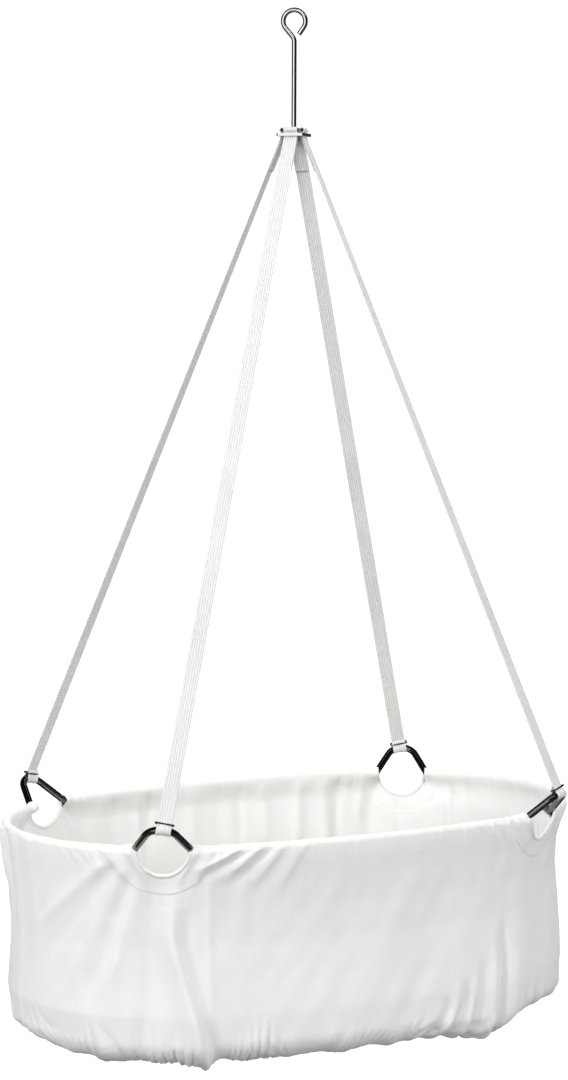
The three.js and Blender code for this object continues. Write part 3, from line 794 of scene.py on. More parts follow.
# Long folds: start and finish as (round the rim, down the cloth), width, height, fade at the ends and tilt.
LONG_FOLDS = [
    # the taut fold from the front left scoop down to the lowest point of the bottom edge
    ((FRONT - 0.030, 0.062), (FRONT - 0.014, 0.150), 0.014, 0.0030, 0.04, 0.3),
    ((FRONT - 0.026, 0.120), (FRONT + 0.029, 0.320), 0.0095, 0.0100, 0.07, 0.5),
    ((FRONT - 0.008, 0.130), (FRONT + 0.046, 0.310), 0.011, -0.0060, 0.07, 0.0),
    ((FRONT + 0.022, 0.030), (FRONT + 0.026, 0.220), 0.006, 0.0016, 0.05, 0.0),
    # the fold under the scoop and its shadow
    ((FRONT - 0.050, 0.058), (FRONT - 0.064, 0.270), 0.016, -0.0046, 0.05, -0.3),
    ((FRONT - 0.028, 0.060), (FRONT - 0.036, 0.260), 0.014, 0.0028, 0.05, 0.0),
    # drag folds from the front left scoop towards the left end
    ((FRONT - 0.070, 0.034), (FRONT - 0.112, 0.180), 0.0130, 0.0034, 0.05, 0.0),
    ((FRONT - 0.082, 0.040), (FRONT - 0.140, 0.190), 0.0110, -0.0026, 0.05, 0.0),
    ((FRONT - 0.090, 0.028), (FRONT - 0.165, 0.165), 0.0125, 0.0028, 0.05, 0.0),
    ((FRONT - 0.100, 0.020), (FRONT - 0.200, 0.140), 0.0110, -0.0020, 0.05, 0.0),
    ((FRONT - 0.110, 0.012), (FRONT - 0.225, 0.110), 0.0120, 0.0026, 0.05, 0.0),
    # gathers that lean away from the front left scoop under the rim
    ((FRONT + 0.064, -0.002), (FRONT + 0.012, 0.022), 0.0060, 0.0040, 0.012, 0.4),
    ((FRONT + 0.074, 0.004), (FRONT + 0.024, 0.030), 0.0050, -0.0034, 0.012, 0.4),
    ((FRONT + 0.092, -0.002), (FRONT + 0.046, 0.034), 0.0070, 0.0034, 0.014, 0.4),
    ((FRONT + 0.104, 0.004), (FRONT + 0.064, 0.040), 0.0060, -0.0028, 0.014, 0.4),
    ((FRONT + 0.122, -0.002), (FRONT + 0.086, 0.044), 0.0080, 0.0026, 0.016, 0.3),
    ((FRONT + 0.152, 0.000), (FRONT + 0.122, 0.050), 0.0090, 0.0018, 0.018, 0.3),
    # soft folds below the front side
    ((FRONT + 0.070, 0.160), (FRONT + 0.100, 0.290), 0.026, 0.0016, 0.06, 0.0),
    ((FRONT + 0.190, 0.190), (FRONT + 0.210, 0.300), 0.024, 0.0018, 0.06, 0.2),
    ((FRONT + 0.300, 0.190), (FRONT + 0.290, 0.300), 0.028, 0.0016, 0.06, 0.0),
    # the deep fold near the front right corner, and the slanting ones beside it
    ((FRONT + 0.488, 0.185), (FRONT + 0.478, 0.320), 0.0062, -0.0120, 0.06, 0.5),
    ((FRONT + 0.471, 0.190), (FRONT + 0.464, 0.300), 0.0100, 0.0048, 0.05, 0.0),
    ((FRONT + 0.506, 0.200), (FRONT + 0.500, 0.300), 0.0160, 0.0040, 0.05, 0.0),
    ((FRONT + 0.448, 0.215), (FRONT + 0.424, 0.310), 0.0075, -0.0060, 0.03, 0.4),
    ((FRONT + 0.436, 0.225), (FRONT + 0.408, 0.310), 0.0065, 0.0044, 0.03, 0.3),
    ((FRONT + 0.418, 0.235), (FRONT + 0.388, 0.310), 0.0065, -0.0052, 0.03, 0.3),
    ((FRONT + 0.400, 0.240), (FRONT + 0.370, 0.310), 0.0065, 0.0036, 0.03, 0.3),
    ((FRONT + 0.384, 0.250), (FRONT + 0.350, 0.310), 0.0070, -0.0040, 0.03, 0.3),
]


def scattered_folds():
    """Gathers and folds with random places and sizes, from a fixed seed."""
    rng = np.random.default_rng(7)
    folds = []
    # short gathers under the rim, slanting away from the nearest scoop
    for first, last in SCOOPS.values():
        for foot, way in ((first, -1), (last, 1)):
            for k in range(7):
                s0 = foot + way * (0.006 + k * 0.017 + rng.uniform(-0.003, 0.003))
                lean = -way * rng.uniform(0.010, 0.024)
                drop = rng.uniform(0.020, 0.040) * (1 - k / 14)
                height = rng.uniform(0.0016, 0.0030) * (1 - k / 9)
                width = rng.uniform(0.004, 0.0065)
                folds.append(((s0, -0.004), (s0 + lean, drop), width, height, 0.018, 0.2 * way))
    # soft upright folds all round, from the rim down
    for s0 in np.arange(0, ROUND, 0.034):
        s0 = s0 + rng.uniform(-0.012, 0.012)
        low = rng.uniform(0.05, 0.19)
        far = 2.6 if s0 < ROUND / 2 else 0.7
        if 0.09 < s0 - FRONT < 0.53:
            far = 0.25
        folds.append(((s0, 0.0), (s0 + rng.uniform(-0.012, 0.012), low), rng.uniform(0.007, 0.015),
                      far * rng.uniform(-0.0020, 0.0026), 0.04, 0.0))
    return folds


FOLDS = LONG_FOLDS + scattered_folds()


def waves(s, q, seed, length_s, length_q, count):
    """Gentle low waves over the cloth, periodic round the rim, from -1 to 1."""
    rng = np.random.default_rng(seed)
    total = np.zeros(np.broadcast(s, q).shape)
    for _ in range(count):
        turns = max(1, round(ROUND / (length_s * rng.uniform(0.7, 1.5))))
        rate = 2 * math.pi / (length_q * rng.uniform(0.7, 1.6))
        total = total + np.cos(2 * math.pi * turns * s / ROUND + rate * q + rng.uniform(0, 2 * math.pi))
    return total / count


def wall_offset(s, q):
    """How far the wall stands outside the rim's centreline before any fold."""
    xy, _ = plan_at(s)
    right = smoothstep(0.25, 0.40, xy[..., 0])
    left = smoothstep(0.25, 0.40, -xy[..., 0])
    middle = 1 - right - left
    downs = np.array([0.0, 0.010, 0.024, 0.048, 0.085, 0.130, 0.180, 0.225, WALL_FOOT])
    right_profile = np.array([6.8, 5.6, 0.5, -7.0, -8.0, -4.0, -0.5, 0.5, -2.0]) / 1000
    left_profile = np.array([6.8, 6.4, 4.8, 1.5, -2.0, -4.5, -3.5, -1.0, -5.0]) / 1000
    side_profile = np.array([6.8, 6.4, 4.6, 1.0, -3.0, -4.5, -2.0, 1.5, 1.0]) / 1000
    parts = ((right, right_profile), (left, left_profile), (middle, side_profile))
    return sum(weight * np.interp(q, downs, profile) for weight, profile in parts)


def fold_height(s, q):
    """All the folds together, along the outward direction."""
    total = np.zeros(np.broadcast(s, q).shape)
    for (s0, q0), (s1, q1), width, height, fade, tilt in FOLDS:
        total = total + ridge(s, q, s0, q0, s1, q1, width, height, fade, tilt)
    total = total + bottom_gathers(s, q)
    gathered = near_scoops(s, 0.06) * (1 - smoothstep(0.0, 0.05, q))
    total = total + 0.0018 * gathered * puffs(s, q, 0.021, 0.0, 34)
    under = smoothstep(0.03, 0.09, q) * (1 - 0.5 * smoothstep(WALL_FOOT, TURN_END, q))
    total = total + 0.0022 * waves(s, q, 3, 0.16, 0.30, 7) * under
    total = total + 0.0007 * waves(s, q, 5, 0.045, 0.08, 9) * smoothstep(0.0, 0.05, q)
    for middle in (0.0, ROUND / 2):  # the end seams: a ridge on each side of the join
        x = round_gap(s, middle)
        seam = 0.0020 * np.exp(-((np.abs(x) - 0.0032) / 0.0020) ** 2) - 0.0016 * np.exp(-(x / 0.0012) ** 2)
        total = total + seam * smoothstep(-0.004, 0.006, q)
    line = stitch_line(s)
    faced = smoothstep(HEM_DROP, HEM_DROP + 0.003, line)
    step = 0.5 - smoothstep(line - 0.0007, line + 0.0007, q)
    total = total + FACING_STEP * faced * step * (q < line + 0.02)
    return total * bpy.context.scene.cradle_sizes.fold_strength


def puffs(s, q, pitch, lean, seed):
    """Soft rolls with sharp valleys between them, from about -0.5 to 0.5."""
    count = round(ROUND / pitch)
    phase = s * count / ROUND + lean * q / pitch + 1.5 * waves(s, 0 * q, seed, 0.10, 1.0, 5)
    return np.abs(np.cos(math.pi * phase)) ** 0.75 - 0.55


def bottom_gathers(s, q):
    """The cloth drawn together round the bottom edge: calm along the middle of the front side."""
    lean = 0.55 * np.sin(4 * math.pi * (s - FRONT - 0.04) / ROUND)
    calm = smoothstep(0.06, 0.14, round_gap(s, FRONT)) * (1 - smoothstep(0.30, 0.40, round_gap(s, FRONT)))
    top = 0.222 + 0.028 * waves(s, 0 * q, 61, 0.07, 1.0, 5) + 0.022 * calm
    strength = np.clip(0.55 + 1.1 * waves(s, 0 * q, 62, 0.13, 1.0, 5), 0.15, 1.1) * (1 - 0.45 * calm)
    broad = puffs(s, q, 0.027, lean, 63) * smoothstep(top, top + 0.065, q)
    narrow = puffs(s, q, 0.0115, lean * 1.3, 64) * smoothstep(WALL_FOOT - 0.012, WALL_FOOT + 0.030, q)
    return strength * 0.0054 * broad + (0.6 + 0.6 * strength) * 0.0038 * narrow


def near_scoops(s, reach):
    """1 at the feet of the bows, fading to 0 further along the rim."""
    near = np.zeros(np.shape(s))
    for first, last in SCOOPS.values():
        gap = np.abs(round_gap(s, (first + last) / 2)) - CHORD / 2
        near = near + np.exp(-(np.clip(gap, 0, None) / reach) ** 2)
    return np.clip(near, 0, 1)


def scoop_edge(s):
    """Depth of the cloth's top edge: 0 at the sleeves, down to the scoop's depth between two feet."""
    edge = np.zeros(np.shape(s))
    for first, last in SCOOPS.values():
        x = round_gap(s, (first + last) / 2) / ((last - first) / 2 + MOUTH)
        edge = edge + SCOOP_DEPTH * np.power(np.clip(1 - np.abs(x) ** 2.1, 0, 1), 0.62)
    return edge


def facing_line(s, first, last):
    """Depth of the facing's stitches below a scoop."""
    reach = (last - first) / 2 + FACING
    x = round_gap(s, (first + last) / 2) / reach
    return (SCOOP_DEPTH + FACING) * np.sqrt(np.clip(1 - x * x, 0, 1))


def stitch_line(s):
    """Depth of the stitches that hold the rim hem, and of the facing's stitches below the scoops."""
    line = np.full(np.shape(s), HEM_DROP)
    for first, last in SCOOPS.values():
        line = np.maximum(line, facing_line(s, first, last))
    return line


def bottom_drop(s):
    """Lips and dips of the bottom edge."""
    lips = 0.0070 * np.exp(-(round_gap(s, FRONT + 0.030) / 0.012) ** 2)
    for place in (-0.188, -0.128, -0.006, 0.144, 0.224, 0.300, 0.478):
        lips = lips + 0.0034 * np.exp(-(round_gap(s, FRONT + place) / 0.011) ** 2)
    lips = lips + 0.015 * np.exp(-(round_gap(s, FRONT + 0.455) / 0.045) ** 2)
    rise = 0.010 * smoothstep(FRONT + 0.485, FRONT + 0.54, s)
    rise = rise * (1 - smoothstep(FRONT + 0.62, FRONT + 0.72, s))
    left = 0.014 * np.exp(-(round_gap(s, ROUND / 2) / 0.11) ** 2)
    return 0.0020 * waves(s, 0.0 * s, 21, 0.055, 1.0, 5) + lips - rise - left


def canvas_point(s, q):
    """Points of the canvas. q is 0 at the outside of the rim tube, above it in the sleeve."""
    s, q = np.broadcast_arrays(np.asarray(s, float), np.asarray(q, float))
    xy, out = plan_at(s)
    drop = np.clip(Q_TOP - q, 0, None)
    fold = fold_height(s, np.where(q < Q_TOP, drop, q))
    down = np.clip(q, 0, WALL_FOOT)
    turn = np.clip((q - WALL_FOOT) / BOTTOM_EDGE, 0, math.pi / 2)
    under = np.clip(q - TURN_END, 0, None)
    low = smoothstep(WALL_FOOT - 0.06, TURN_END, q)
    offset = wall_offset(s, down) + fold * np.cos(turn) - BOTTOM_EDGE * (1 - np.cos(turn)) - under
    hang = np.where(under < 0.004, fold * 0.7 * np.sin(turn) + bottom_drop(s) * low, fold * 0.35)
    height = -down - BOTTOM_EDGE * np.sin(turn) - hang
    # the sleeve: over the tube and down its inner side
    angle = np.clip(-q / SLEEVE_RADIUS, 0, math.pi)
    pucker = 1 + 0.08 * waves(s, q, 31, 0.014, 0.5, 4) + 0.05 * waves(s, q, 32, 0.05, 0.5, 3)
    pucker = pucker + 0.30 * near_scoops(s, 0.075) * puffs(s, 0 * s, 0.017, 0.0, 33)
    radius = SLEEVE_RADIUS * pucker + 0.0026 * near_scoops(s, 0.007)
    # the end of the inner layer lies just inside the wall's face
    sunk = bpy.context.scene.cradle_sizes.canvas_thickness * 0.85
    length = HEM_INSIDE * (0.92 - 0.55 * near_scoops(s, 0.014))
    settle = smoothstep(-0.002, length, drop)
    settle_start = smoothstep(-0.002, length, 0.0)
    settle = (settle - settle_start) / (1 - settle_start)
    inner = (wall_offset(s, drop) - sunk) * settle - radius * (1 - settle)
    inner = inner + fold * smoothstep(0.0, 0.016, drop)
    sleeve_offset = np.where(drop > 0, inner, radius * np.cos(angle))
    sleeve_height = np.where(drop > 0, -drop, radius * np.sin(angle))
    over = q < 0
    offset = np.where(over, sleeve_offset, offset + (radius - SLEEVE_RADIUS) * np.exp(-down / 0.01))
    height = np.where(over, sleeve_height, height)
    flat = xy + out * offset[..., None]
    return np.concatenate([flat, (RIM_Z + height)[..., None]], -1)


def canvas_normal(s, q):
    """Outward direction of the canvas at a place on it."""
    h = 0.0008
    along = canvas_point(s + h, q) - canvas_point(s - h, q)
    down = canvas_point(s, q + h) - canvas_point(s, q - h)
    normal = np.cross(down, along)
    return normal / np.linalg.norm(normal, axis=-1, keepdims=True)


FINE_DEPTH = 0.10  # the rows of the grid are closer above this
CREASE = 0.0024  # and closest this far above and below a line of stitches


def canvas_columns(start):
    """Places along half the rim: even over each stretch, closer at the end seams."""
    stops = [start]
    for first, last in sorted(SCOOPS.values()):
        if start < first < start + ROUND / 2:
            stops += [first - MOUTH, last + MOUTH]
    stops.append(start + ROUND / 2)
    columns = []
    for a, b in zip(stops, stops[1:]):
        count = max(4, round((b - a) / 0.0025))
        columns.append(np.linspace(a, b, count, endpoint=False))
    columns = np.concatenate(columns)
    columns = columns[(columns > start + 0.008) & (columns < start + ROUND / 2 - 0.008)]
    close = np.arange(0, 0.0081, 0.0010)
    return np.sort(np.concatenate([start + close, columns, start + ROUND / 2 - close]))


def rows_between(a, b, steps):
    """Even rows from a up to, but without, b."""
    return a + (b - a) * np.linspace(0, 1, steps)[:-1, None]


def build_canvas():
    """The tub's wall, bottom edge and sleeves, in two halves that meet at the end seams."""
    halves = {
        "canvas_back": (0.0, ("back_cover", "back_sleeve", "right_sleeve")),
        "canvas_front": (ROUND / 2, ("front_cover", "front_sleeve", "left_sleeve")),
    }
    for name, (start, replaced) in halves.items():
        build_canvas_half(name, start, replaced)


def build_canvas_half(name, start, replaced):
    """Half of the canvas, from s = start on, as one grid of quads with a thickness."""
    s = canvas_columns(start)
    top = scoop_edge(s)
    line = stitch_line(s)
    upper = np.vstack([rows_between(top, line - CREASE, 10), rows_between(line - CREASE, line + CREASE, 7),
                       rows_between(line + CREASE, np.full(len(s), FINE_DEPTH), 14)])
    lower = np.concatenate([np.linspace(FINE_DEPTH, 0.20, 15)[:-1], np.linspace(0.20, Q_END, 37)])
    q = np.concatenate([upper, np.repeat(lower[:, None], len(s), 1)])
    wall = canvas_point(s[None, :], q)
    sleeve_q = np.concatenate([np.linspace(Q_START, Q_TOP, 9)[:-1], np.linspace(Q_TOP, 0, 11)])[:-1]
    sleeve = canvas_point(s[None, :], sleeve_q[:, None])
    count, rows = len(s), len(sleeve_q)
    verts = np.concatenate([sleeve.reshape(-1, 3), wall.reshape(-1, 3)])
    all_q = np.concatenate([np.repeat(sleeve_q[:, None], count, 1), q])
    all_s = np.repeat(s[None, :], rows + len(q), 0)
    faces = grid_faces(rows + len(q), count)
    in_sleeve = faces[:, 0] < rows * count
    middle = (s[:-1] + s[1:]) / 2
    in_scoop = scoop_edge(middle)[faces[:, 0] % count] > 0
    faces = faces[~(in_sleeve & in_scoop)]
    used = np.zeros(len(verts), bool)
    used[faces.ravel()] = True
    index = np.cumsum(used) - 1
    flat_q = all_q.ravel()[used]
    obj = new_mesh_object(name, verts[used], index[faces], np.stack([all_s.ravel()[used], flat_q], 1))
    full = obj.vertex_groups.new(name="full_thickness")
    for vertex, weight in enumerate(1 - np.clip((Q_TOP - flat_q) / HEM_INSIDE, 0, 1)):
        full.add([vertex], float(weight), "REPLACE")
    thick = obj.modifiers.new("thickness", "SOLIDIFY")
    thick.thickness = bpy.context.scene.cradle_sizes.canvas_thickness
    thick.offset = -1.0
    thick.vertex_group = "full_thickness"
    thick.thickness_vertex_group = 0.15
    finish_piece(obj, MATERIALS["canvas"], "cradle", "canvas", *replaced)


def build_scoop_bindings():
    """The rolled edge of each scoop, one soft bead from foot to foot."""
    for name, (first, last) in SCOOPS.items():
        s = np.linspace(first - MOUTH, last + MOUTH, 70)
        points = canvas_point(s, scoop_edge(s) + 0.0012) - canvas_normal(s, scoop_edge(s) + 0.001) * 0.0006
        obj = tube_object(f"scoop_binding_{name}", points, BINDING_RADIUS, 12, rounded=True)
        layer = obj.data.uv_layers.new(name="cloth")
        for loop in obj.data.loops:
            place = obj.data.vertices[loop.vertex_index].co
            layer.data[loop.index].uv = (place.x + place.y, place.z)
        finish_piece(obj, MATERIALS["canvas"], "cradle", "canvas", f"scoop_facing_{name}")


def build_base_panel():
    """The flat canvas bottom, rippled where it is gathered near its edge."""
    s = np.linspace(0, ROUND, 240, endpoint=False)
    xy, out = plan_at(s)
    inset = BOTTOM_EDGE + TUCK - 0.006
    shares = np.array([0.0, 0.06, 0.13, 0.22, 0.34, 0.48, 0.62, 0.76, 0.88, 0.95, 1.0])
    edge = xy - out * inset
    rings = [edge * share for share in shares[1:]]
    flat = np.vstack([np.zeros((1, 2)), *rings])
    level = RIM_Z - DEPTH + 0.0026
    ripple = np.concatenate([[0.0], *[
        0.0011 * waves(s, 0 * s, 41, 0.05, 1.0, 5) * smoothstep(0.7, 1.0, share) for share in shares[1:]]])
    sag = -0.0012 * (1 - np.clip(np.linalg.norm(flat / [HALF_LENGTH, HALF_WIDTH], axis=1), 0, 1))
    verts = np.c_[flat, level + ripple + sag]
    count = len(s)
    faces = [(0, 1 + i, 1 + (i + 1) % count) for i in range(count)]
    for ring in range(len(shares) - 2):
        a, b = 1 + ring * count, 1 + (ring + 1) * count
        faces += [(a + i, b + i, b + (i + 1) % count, a + (i + 1) % count) for i in range(count)]
    obj = new_mesh_object("base_cloth", verts, faces, flat)
    fix_normals(obj)
    if sum(p.normal.z for p in obj.data.polygons) > 0:
        obj.data.flip_normals()
    thick = obj.modifiers.new("thickness", "SOLIDIFY")
    thick.thickness = bpy.context.scene.cradle_sizes.canvas_thickness
    finish_piece(obj, MATERIALS["canvas"], "cradle", "canvas", "base_panel")


def build_hem():
    """The casing of the elastic under the tub."""
    s = np.linspace(0, ROUND, 520, endpoint=False)
    xy, out = plan_at(s)
    centre = np.c_[xy - out * (BOTTOM_EDGE + TUCK), np.full(len(s), RIM_Z - DEPTH + 0.0003)]
    centre[:, 2] += 0.0007 * waves(s, 0 * s, 51, 0.02, 1.0, 4)
    turn = np.linspace(0, 2 * math.pi, 10, endpoint=False)
    pucker = 1 + 0.22 * waves(s, 0 * s, 52, 0.009, 1.0, 3)
    side = np.c_[out, np.zeros(len(s))]
    ring = np.cos(turn)[None, :, None] * side[:, None, :] * 0.0030 + np.sin(turn)[None, :, None] * Z * 0.0019
    verts = (centre[:, None, :] + ring * pucker[:, None, None]).reshape(-1, 3)
    faces = grid_faces(len(s), len(turn), closed_rows=True, closed_columns=True)
    uv = np.stack(np.broadcast_arrays(s[:, None], turn[None, :] * 0.003), -1).reshape(-1, 2)
    obj = new_mesh_object("hem_casing", verts, faces, uv)
    fix_normals(obj)
    finish_piece(obj, MATERIALS["canvas"], "cradle", "canvas", "hem_elastic")


def build_canvas_stitches():
    """Stitches of the rim hem, the facings and the end seams, on the face of the cloth."""
    lift = 0.00005
    paths = []
    stops = sorted(SCOOPS.values())
    for (_, start), (finish, _) in zip(stops, stops[1:] + [(stops[0][0] + ROUND, 0)]):
        s = np.arange(start + MOUTH, finish - MOUTH, 0.003)
        s = s[stitch_line(s) < HEM_DROP + 0.0001]
        q = np.full(len(s), HEM_DROP)
        paths.append(canvas_point(s, q) + canvas_normal(s, q) * lift)
    for first, last in stops:
        s = np.linspace(first - FACING * 0.72, last + FACING * 0.72, 60)
        s = s[facing_line(s, first, last) > HEM_DROP]
        q = facing_line(s, first, last)
        paths.append(canvas_point(s, q) + canvas_normal(s, q) * lift)
    for middle in (0.0, ROUND / 2):
        for side in (-0.0046, 0.0046):
            q = np.arange(0.002, WALL_FOOT + 0.03, 0.004)
            s = np.full(len(q), middle + side)
            paths.append(canvas_point(s, q) + canvas_normal(s, q) * lift)
    stitch_rows("canvas_stitches", paths, "cradle", "canvas", 0.00024)


# ---- steel ----


def bow_frame(sx, sy):
    """The rail ends, the feet and the corner of one bow's V."""
    side_angle = SIDE_SWEEP - FOOT_RUN / SIDE_RADIUS
    end_angle = END_SWEEP - FOOT_RUN / END_RADIUS
    mirror = np.array([sx, sy, 1.0])
    side_end = np.array([SIDE_RADIUS * math.sin(side_angle),
                         SIDE_CENTRE_Y + SIDE_RADIUS * math.cos(side_angle), RIM_Z]) * mirror
    end_end = np.array([END_CENTRE_X + END_RADIUS * math.cos(end_angle),
                        END_RADIUS * math.sin(end_angle), RIM_Z]) * mirror
    side_foot = side_end + np.array([math.cos(side_angle), -math.sin(side_angle), 0]) * mirror * FOOT_RUN
    end_foot = end_end + np.array([-math.sin(end_angle), math.cos(end_angle), 0]) * mirror * FOOT_RUN
    along = unit(end_foot - side_foot)
    out = np.array([sx * abs(along[1]), sy * abs(along[0]), 0])
    rise = out * math.sin(BOW_LEAN) + Z * math.cos(BOW_LEAN)
    peak = side_foot + along * BOW_PEAK[0] + rise * BOW_PEAK[1]
    return side_end, side_foot, peak, end_foot, end_end


def bow_loop(sx, sy):
    """Where the strap goes round the bow: the bend's arc, the angle of the strap's middle and its place."""
    _, side_foot, peak, end_foot, _ = bow_frame(sx, sy)
    centre, u, v, angle = bend_arc(side_foot, peak, end_foot, BOW_BEND)
    middle = angle / 2 + LOOP_SHIFT / BOW_BEND
    place = centre + BOW_BEND * (math.cos(middle) * u + math.sin(middle) * v)
    along = -math.sin(middle) * u + math.cos(middle) * v
    return (centre, u, v, middle), place, along


def build_bows():
    """The V of polished tube at each corner, with its feet in the sleeves."""
    sides = bpy.context.scene.cradle_sizes.tube_sides
    for name, (sx, sy) in CORNERS.items():
        path = bent_path(list(bow_frame(sx, sy)), [FOOT_BEND, BOW_BEND, FOOT_BEND], 0.0012)
        obj = tube_object(f"bow_{name}", path, TUBE_RADIUS, sides)
        finish_piece(obj, MATERIALS["bow"], "cradle", "polished_steel", f"corner_bow_{name}")


def build_eye_rod():
    """The rod: straight stem, neck, open ring and its free end."""
    across = np.array([math.cos(EYE_YAW), math.sin(EYE_YAW), 0])
    centre = Z * (ROD_RADIUS - EYE_RADIUS)

    def at(x, z):
        return centre + across * x + Z * z

    lean = math.asin(EYE_RADIUS / EYE_NECK)
    reach = math.hypot(*EYE_TIP)
    start = math.pi + lean
    finish = math.atan2(EYE_TIP[1], EYE_TIP[0]) + math.acos(EYE_RADIUS / reach)
    ring = arc_points(centre, across, Z, EYE_RADIUS, start, finish, 0.0008)
    foot = np.array([0, 0, ROD_BOTTOM + ROD_RADIUS * 0.4])
    stem = bent_path([foot, at(0, -EYE_NECK), ring[0]], [0.012], 0.0015)
    tip = straight(ring[-1], at(*EYE_TIP) - unit(at(*EYE_TIP) - ring[-1]) * ROD_RADIUS * 0.4, 0.0015)
    path = np.vstack([stem[:-1], ring, tip[1:]])
    sides = bpy.context.scene.cradle_sizes.tube_sides
    verts, faces = tube_mesh(path, ROD_RADIUS, sides)
    obj = new_mesh_object("eye_rod_bent", verts, faces)
    fix_normals(obj)
    soften(obj, 0.0006)
    finish_piece(obj, MATERIALS["steel"], "hanger", "polished_steel", "eye_rod")


def soften(obj, width, segments=3):
    """Rounds the sharp edges."""
    bevel = obj.modifiers.new("edges", "BEVEL")
    bevel.width = width
    bevel.segments = segments
    bevel.limit_method = "ANGLE"
    bevel.angle_limit = math.radians(40)
    bevel.harden_normals = False
    return bevel


def build_plate():
    """The hanger plate: the frame's plate with rounded edges."""
    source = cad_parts["hanger_plate"]
    bm = bmesh.new()
    bm.from_mesh(source.data)
    bmesh.ops.remove_doubles(bm, verts=bm.verts, dist=1e-6)
    bmesh.ops.dissolve_limit(bm, angle_limit=math.radians(2), verts=bm.verts, edges=bm.edges)
    mesh = bpy.data.meshes.new("hanger_plate_rounded")
    bm.to_mesh(mesh)
    bm.free()
    obj = link_object("hanger_plate_rounded", mesh)
    mesh.polygons.foreach_set("use_smooth", [True] * len(mesh.polygons))
    soften(obj, 0.0011, 4)
    finish_piece(obj, MATERIALS["steel"], "cradle", "polished_steel", "hanger_plate")


def slot_frame(sx, sy):
    """Outward direction of a corner's slot in the plate, and the direction along the slot."""
    out = unit([sx, sy, 0])
    return out, np.cross(Z, out)


def build_pins():
    """The pins that hold the straps' top loops above the plate."""
    for name, (sx, sy) in CORNERS.items():
        out, along = slot_frame(sx, sy)
        middle = out * SLOT_RADIUS + Z * PIN_Z
        half = along * (PIN_LENGTH / 2 - PIN_RADIUS * 0.9)
        path = straight(middle - half, middle + half, 0.001)
        obj = tube_object(f"pin_{name}", path, PIN_RADIUS, 24, rounded=True)
        finish_piece(obj, MATERIALS["wire"], "cradle", "dark_wire", f"loop_pin_{name}")


# ---- straps ----


def strap_line(sx, sy):
    """Top and bottom of a strap's straight run, with its width direction at both."""
    _, place, loop_along = bow_loop(sx, sy)
    out, across = slot_frame(sx, sy)
    if across @ loop_along < 0:
        across = -across
    mouth = out * SLOT_RADIUS + Z * (PLATE_BOTTOM - 0.001)
    return mouth, place, across, loop_along


def strap_path(sx, sy):
    """The webbing's own route: sewn end, up to the pin, over it, down, round the bow and back up."""
    mouth, place, across_top, across_low = strap_line(sx, sy)
    length = np.linalg.norm(place - mouth)
    down = (place - mouth) / length
    out, _ = slot_frame(sx, sy)
    layer = WEBBING_THICKNESS / 2 + 0.00005
    points, across = [], []

    def add(point, share):
        points.append(point)
        across.append(unit(across_top * (1 - share) + across_low * share))

    def run(start, finish, side):
        count = int(abs(finish - start) / 0.004) + 1
        for t in np.linspace(start, finish, count):
            share = t / length
            width = unit(across_top * (1 - share) + across_low * share)
            through = unit(np.cross(down, width))
            through = through if through @ out > 0 else -through
            add(mouth + down * t + through * side * layer, share)

    run(WEBBING_LAP, 0.006, -1)
    pin = out * SLOT_RADIUS + Z * PIN_Z
    ring = PIN_RADIUS + 0.0002 + WEBBING_THICKNESS / 2
    for z in np.linspace(mouth[2] + 0.0005, PIN_Z - 0.0022, 5):
        add(np.array([*(out * (SLOT_RADIUS - layer))[:2], z]), 0)
    for angle in np.linspace(math.pi + 0.45, -0.45, 22):
        add(pin + ring * (out * math.cos(angle) + Z * math.sin(angle)), 0)
    for z in np.linspace(PIN_Z - 0.0022, mouth[2] + 0.0005, 5):
        add(np.array([*(out * (SLOT_RADIUS + layer))[:2], z]), 0)
    run(0.006, length - 0.0085, 1)
    through = unit(np.cross(down, across_low))
    through = through if through @ out > 0 else -through
    wrap = TUBE_RADIUS + 0.0003 + WEBBING_THICKNESS / 2
    for angle in np.linspace(math.radians(38), math.radians(-218), 30):
        add(place + wrap * (through * math.cos(angle) - down * math.sin(angle)), 1)
    run(length - 0.0085, length - 0.0145, -1)
    return np.array(points), np.array(across)


def smooth_rows(rows, passes):
    """Rows of numbers evened out between their neighbours, with both ends kept."""
    rows = rows.copy()
    for _ in range(passes):
        rows[1:-1] = 0.25 * rows[:-2] + 0.5 * rows[1:-1] + 0.25 * rows[2:]
    return rows


def webbing_section():
    """Half-thickness across the webbing: rounded selvedges and lengthwise ribs."""
    x = np.linspace(-0.5, 0.5, 43)
    ribs = np.abs(np.cos(np.pi * (x + 0.5) * WEBBING_RIBS))
    edge = np.sqrt(np.clip(1 - (np.abs(x) / 0.5) ** 16, 0, 1))
    half = WEBBING_THICKNESS / 2 * (0.80 + 0.20 * (1 - ribs ** 4)) * np.maximum(edge, 0.25)
    return x * WEBBING_WIDTH, half


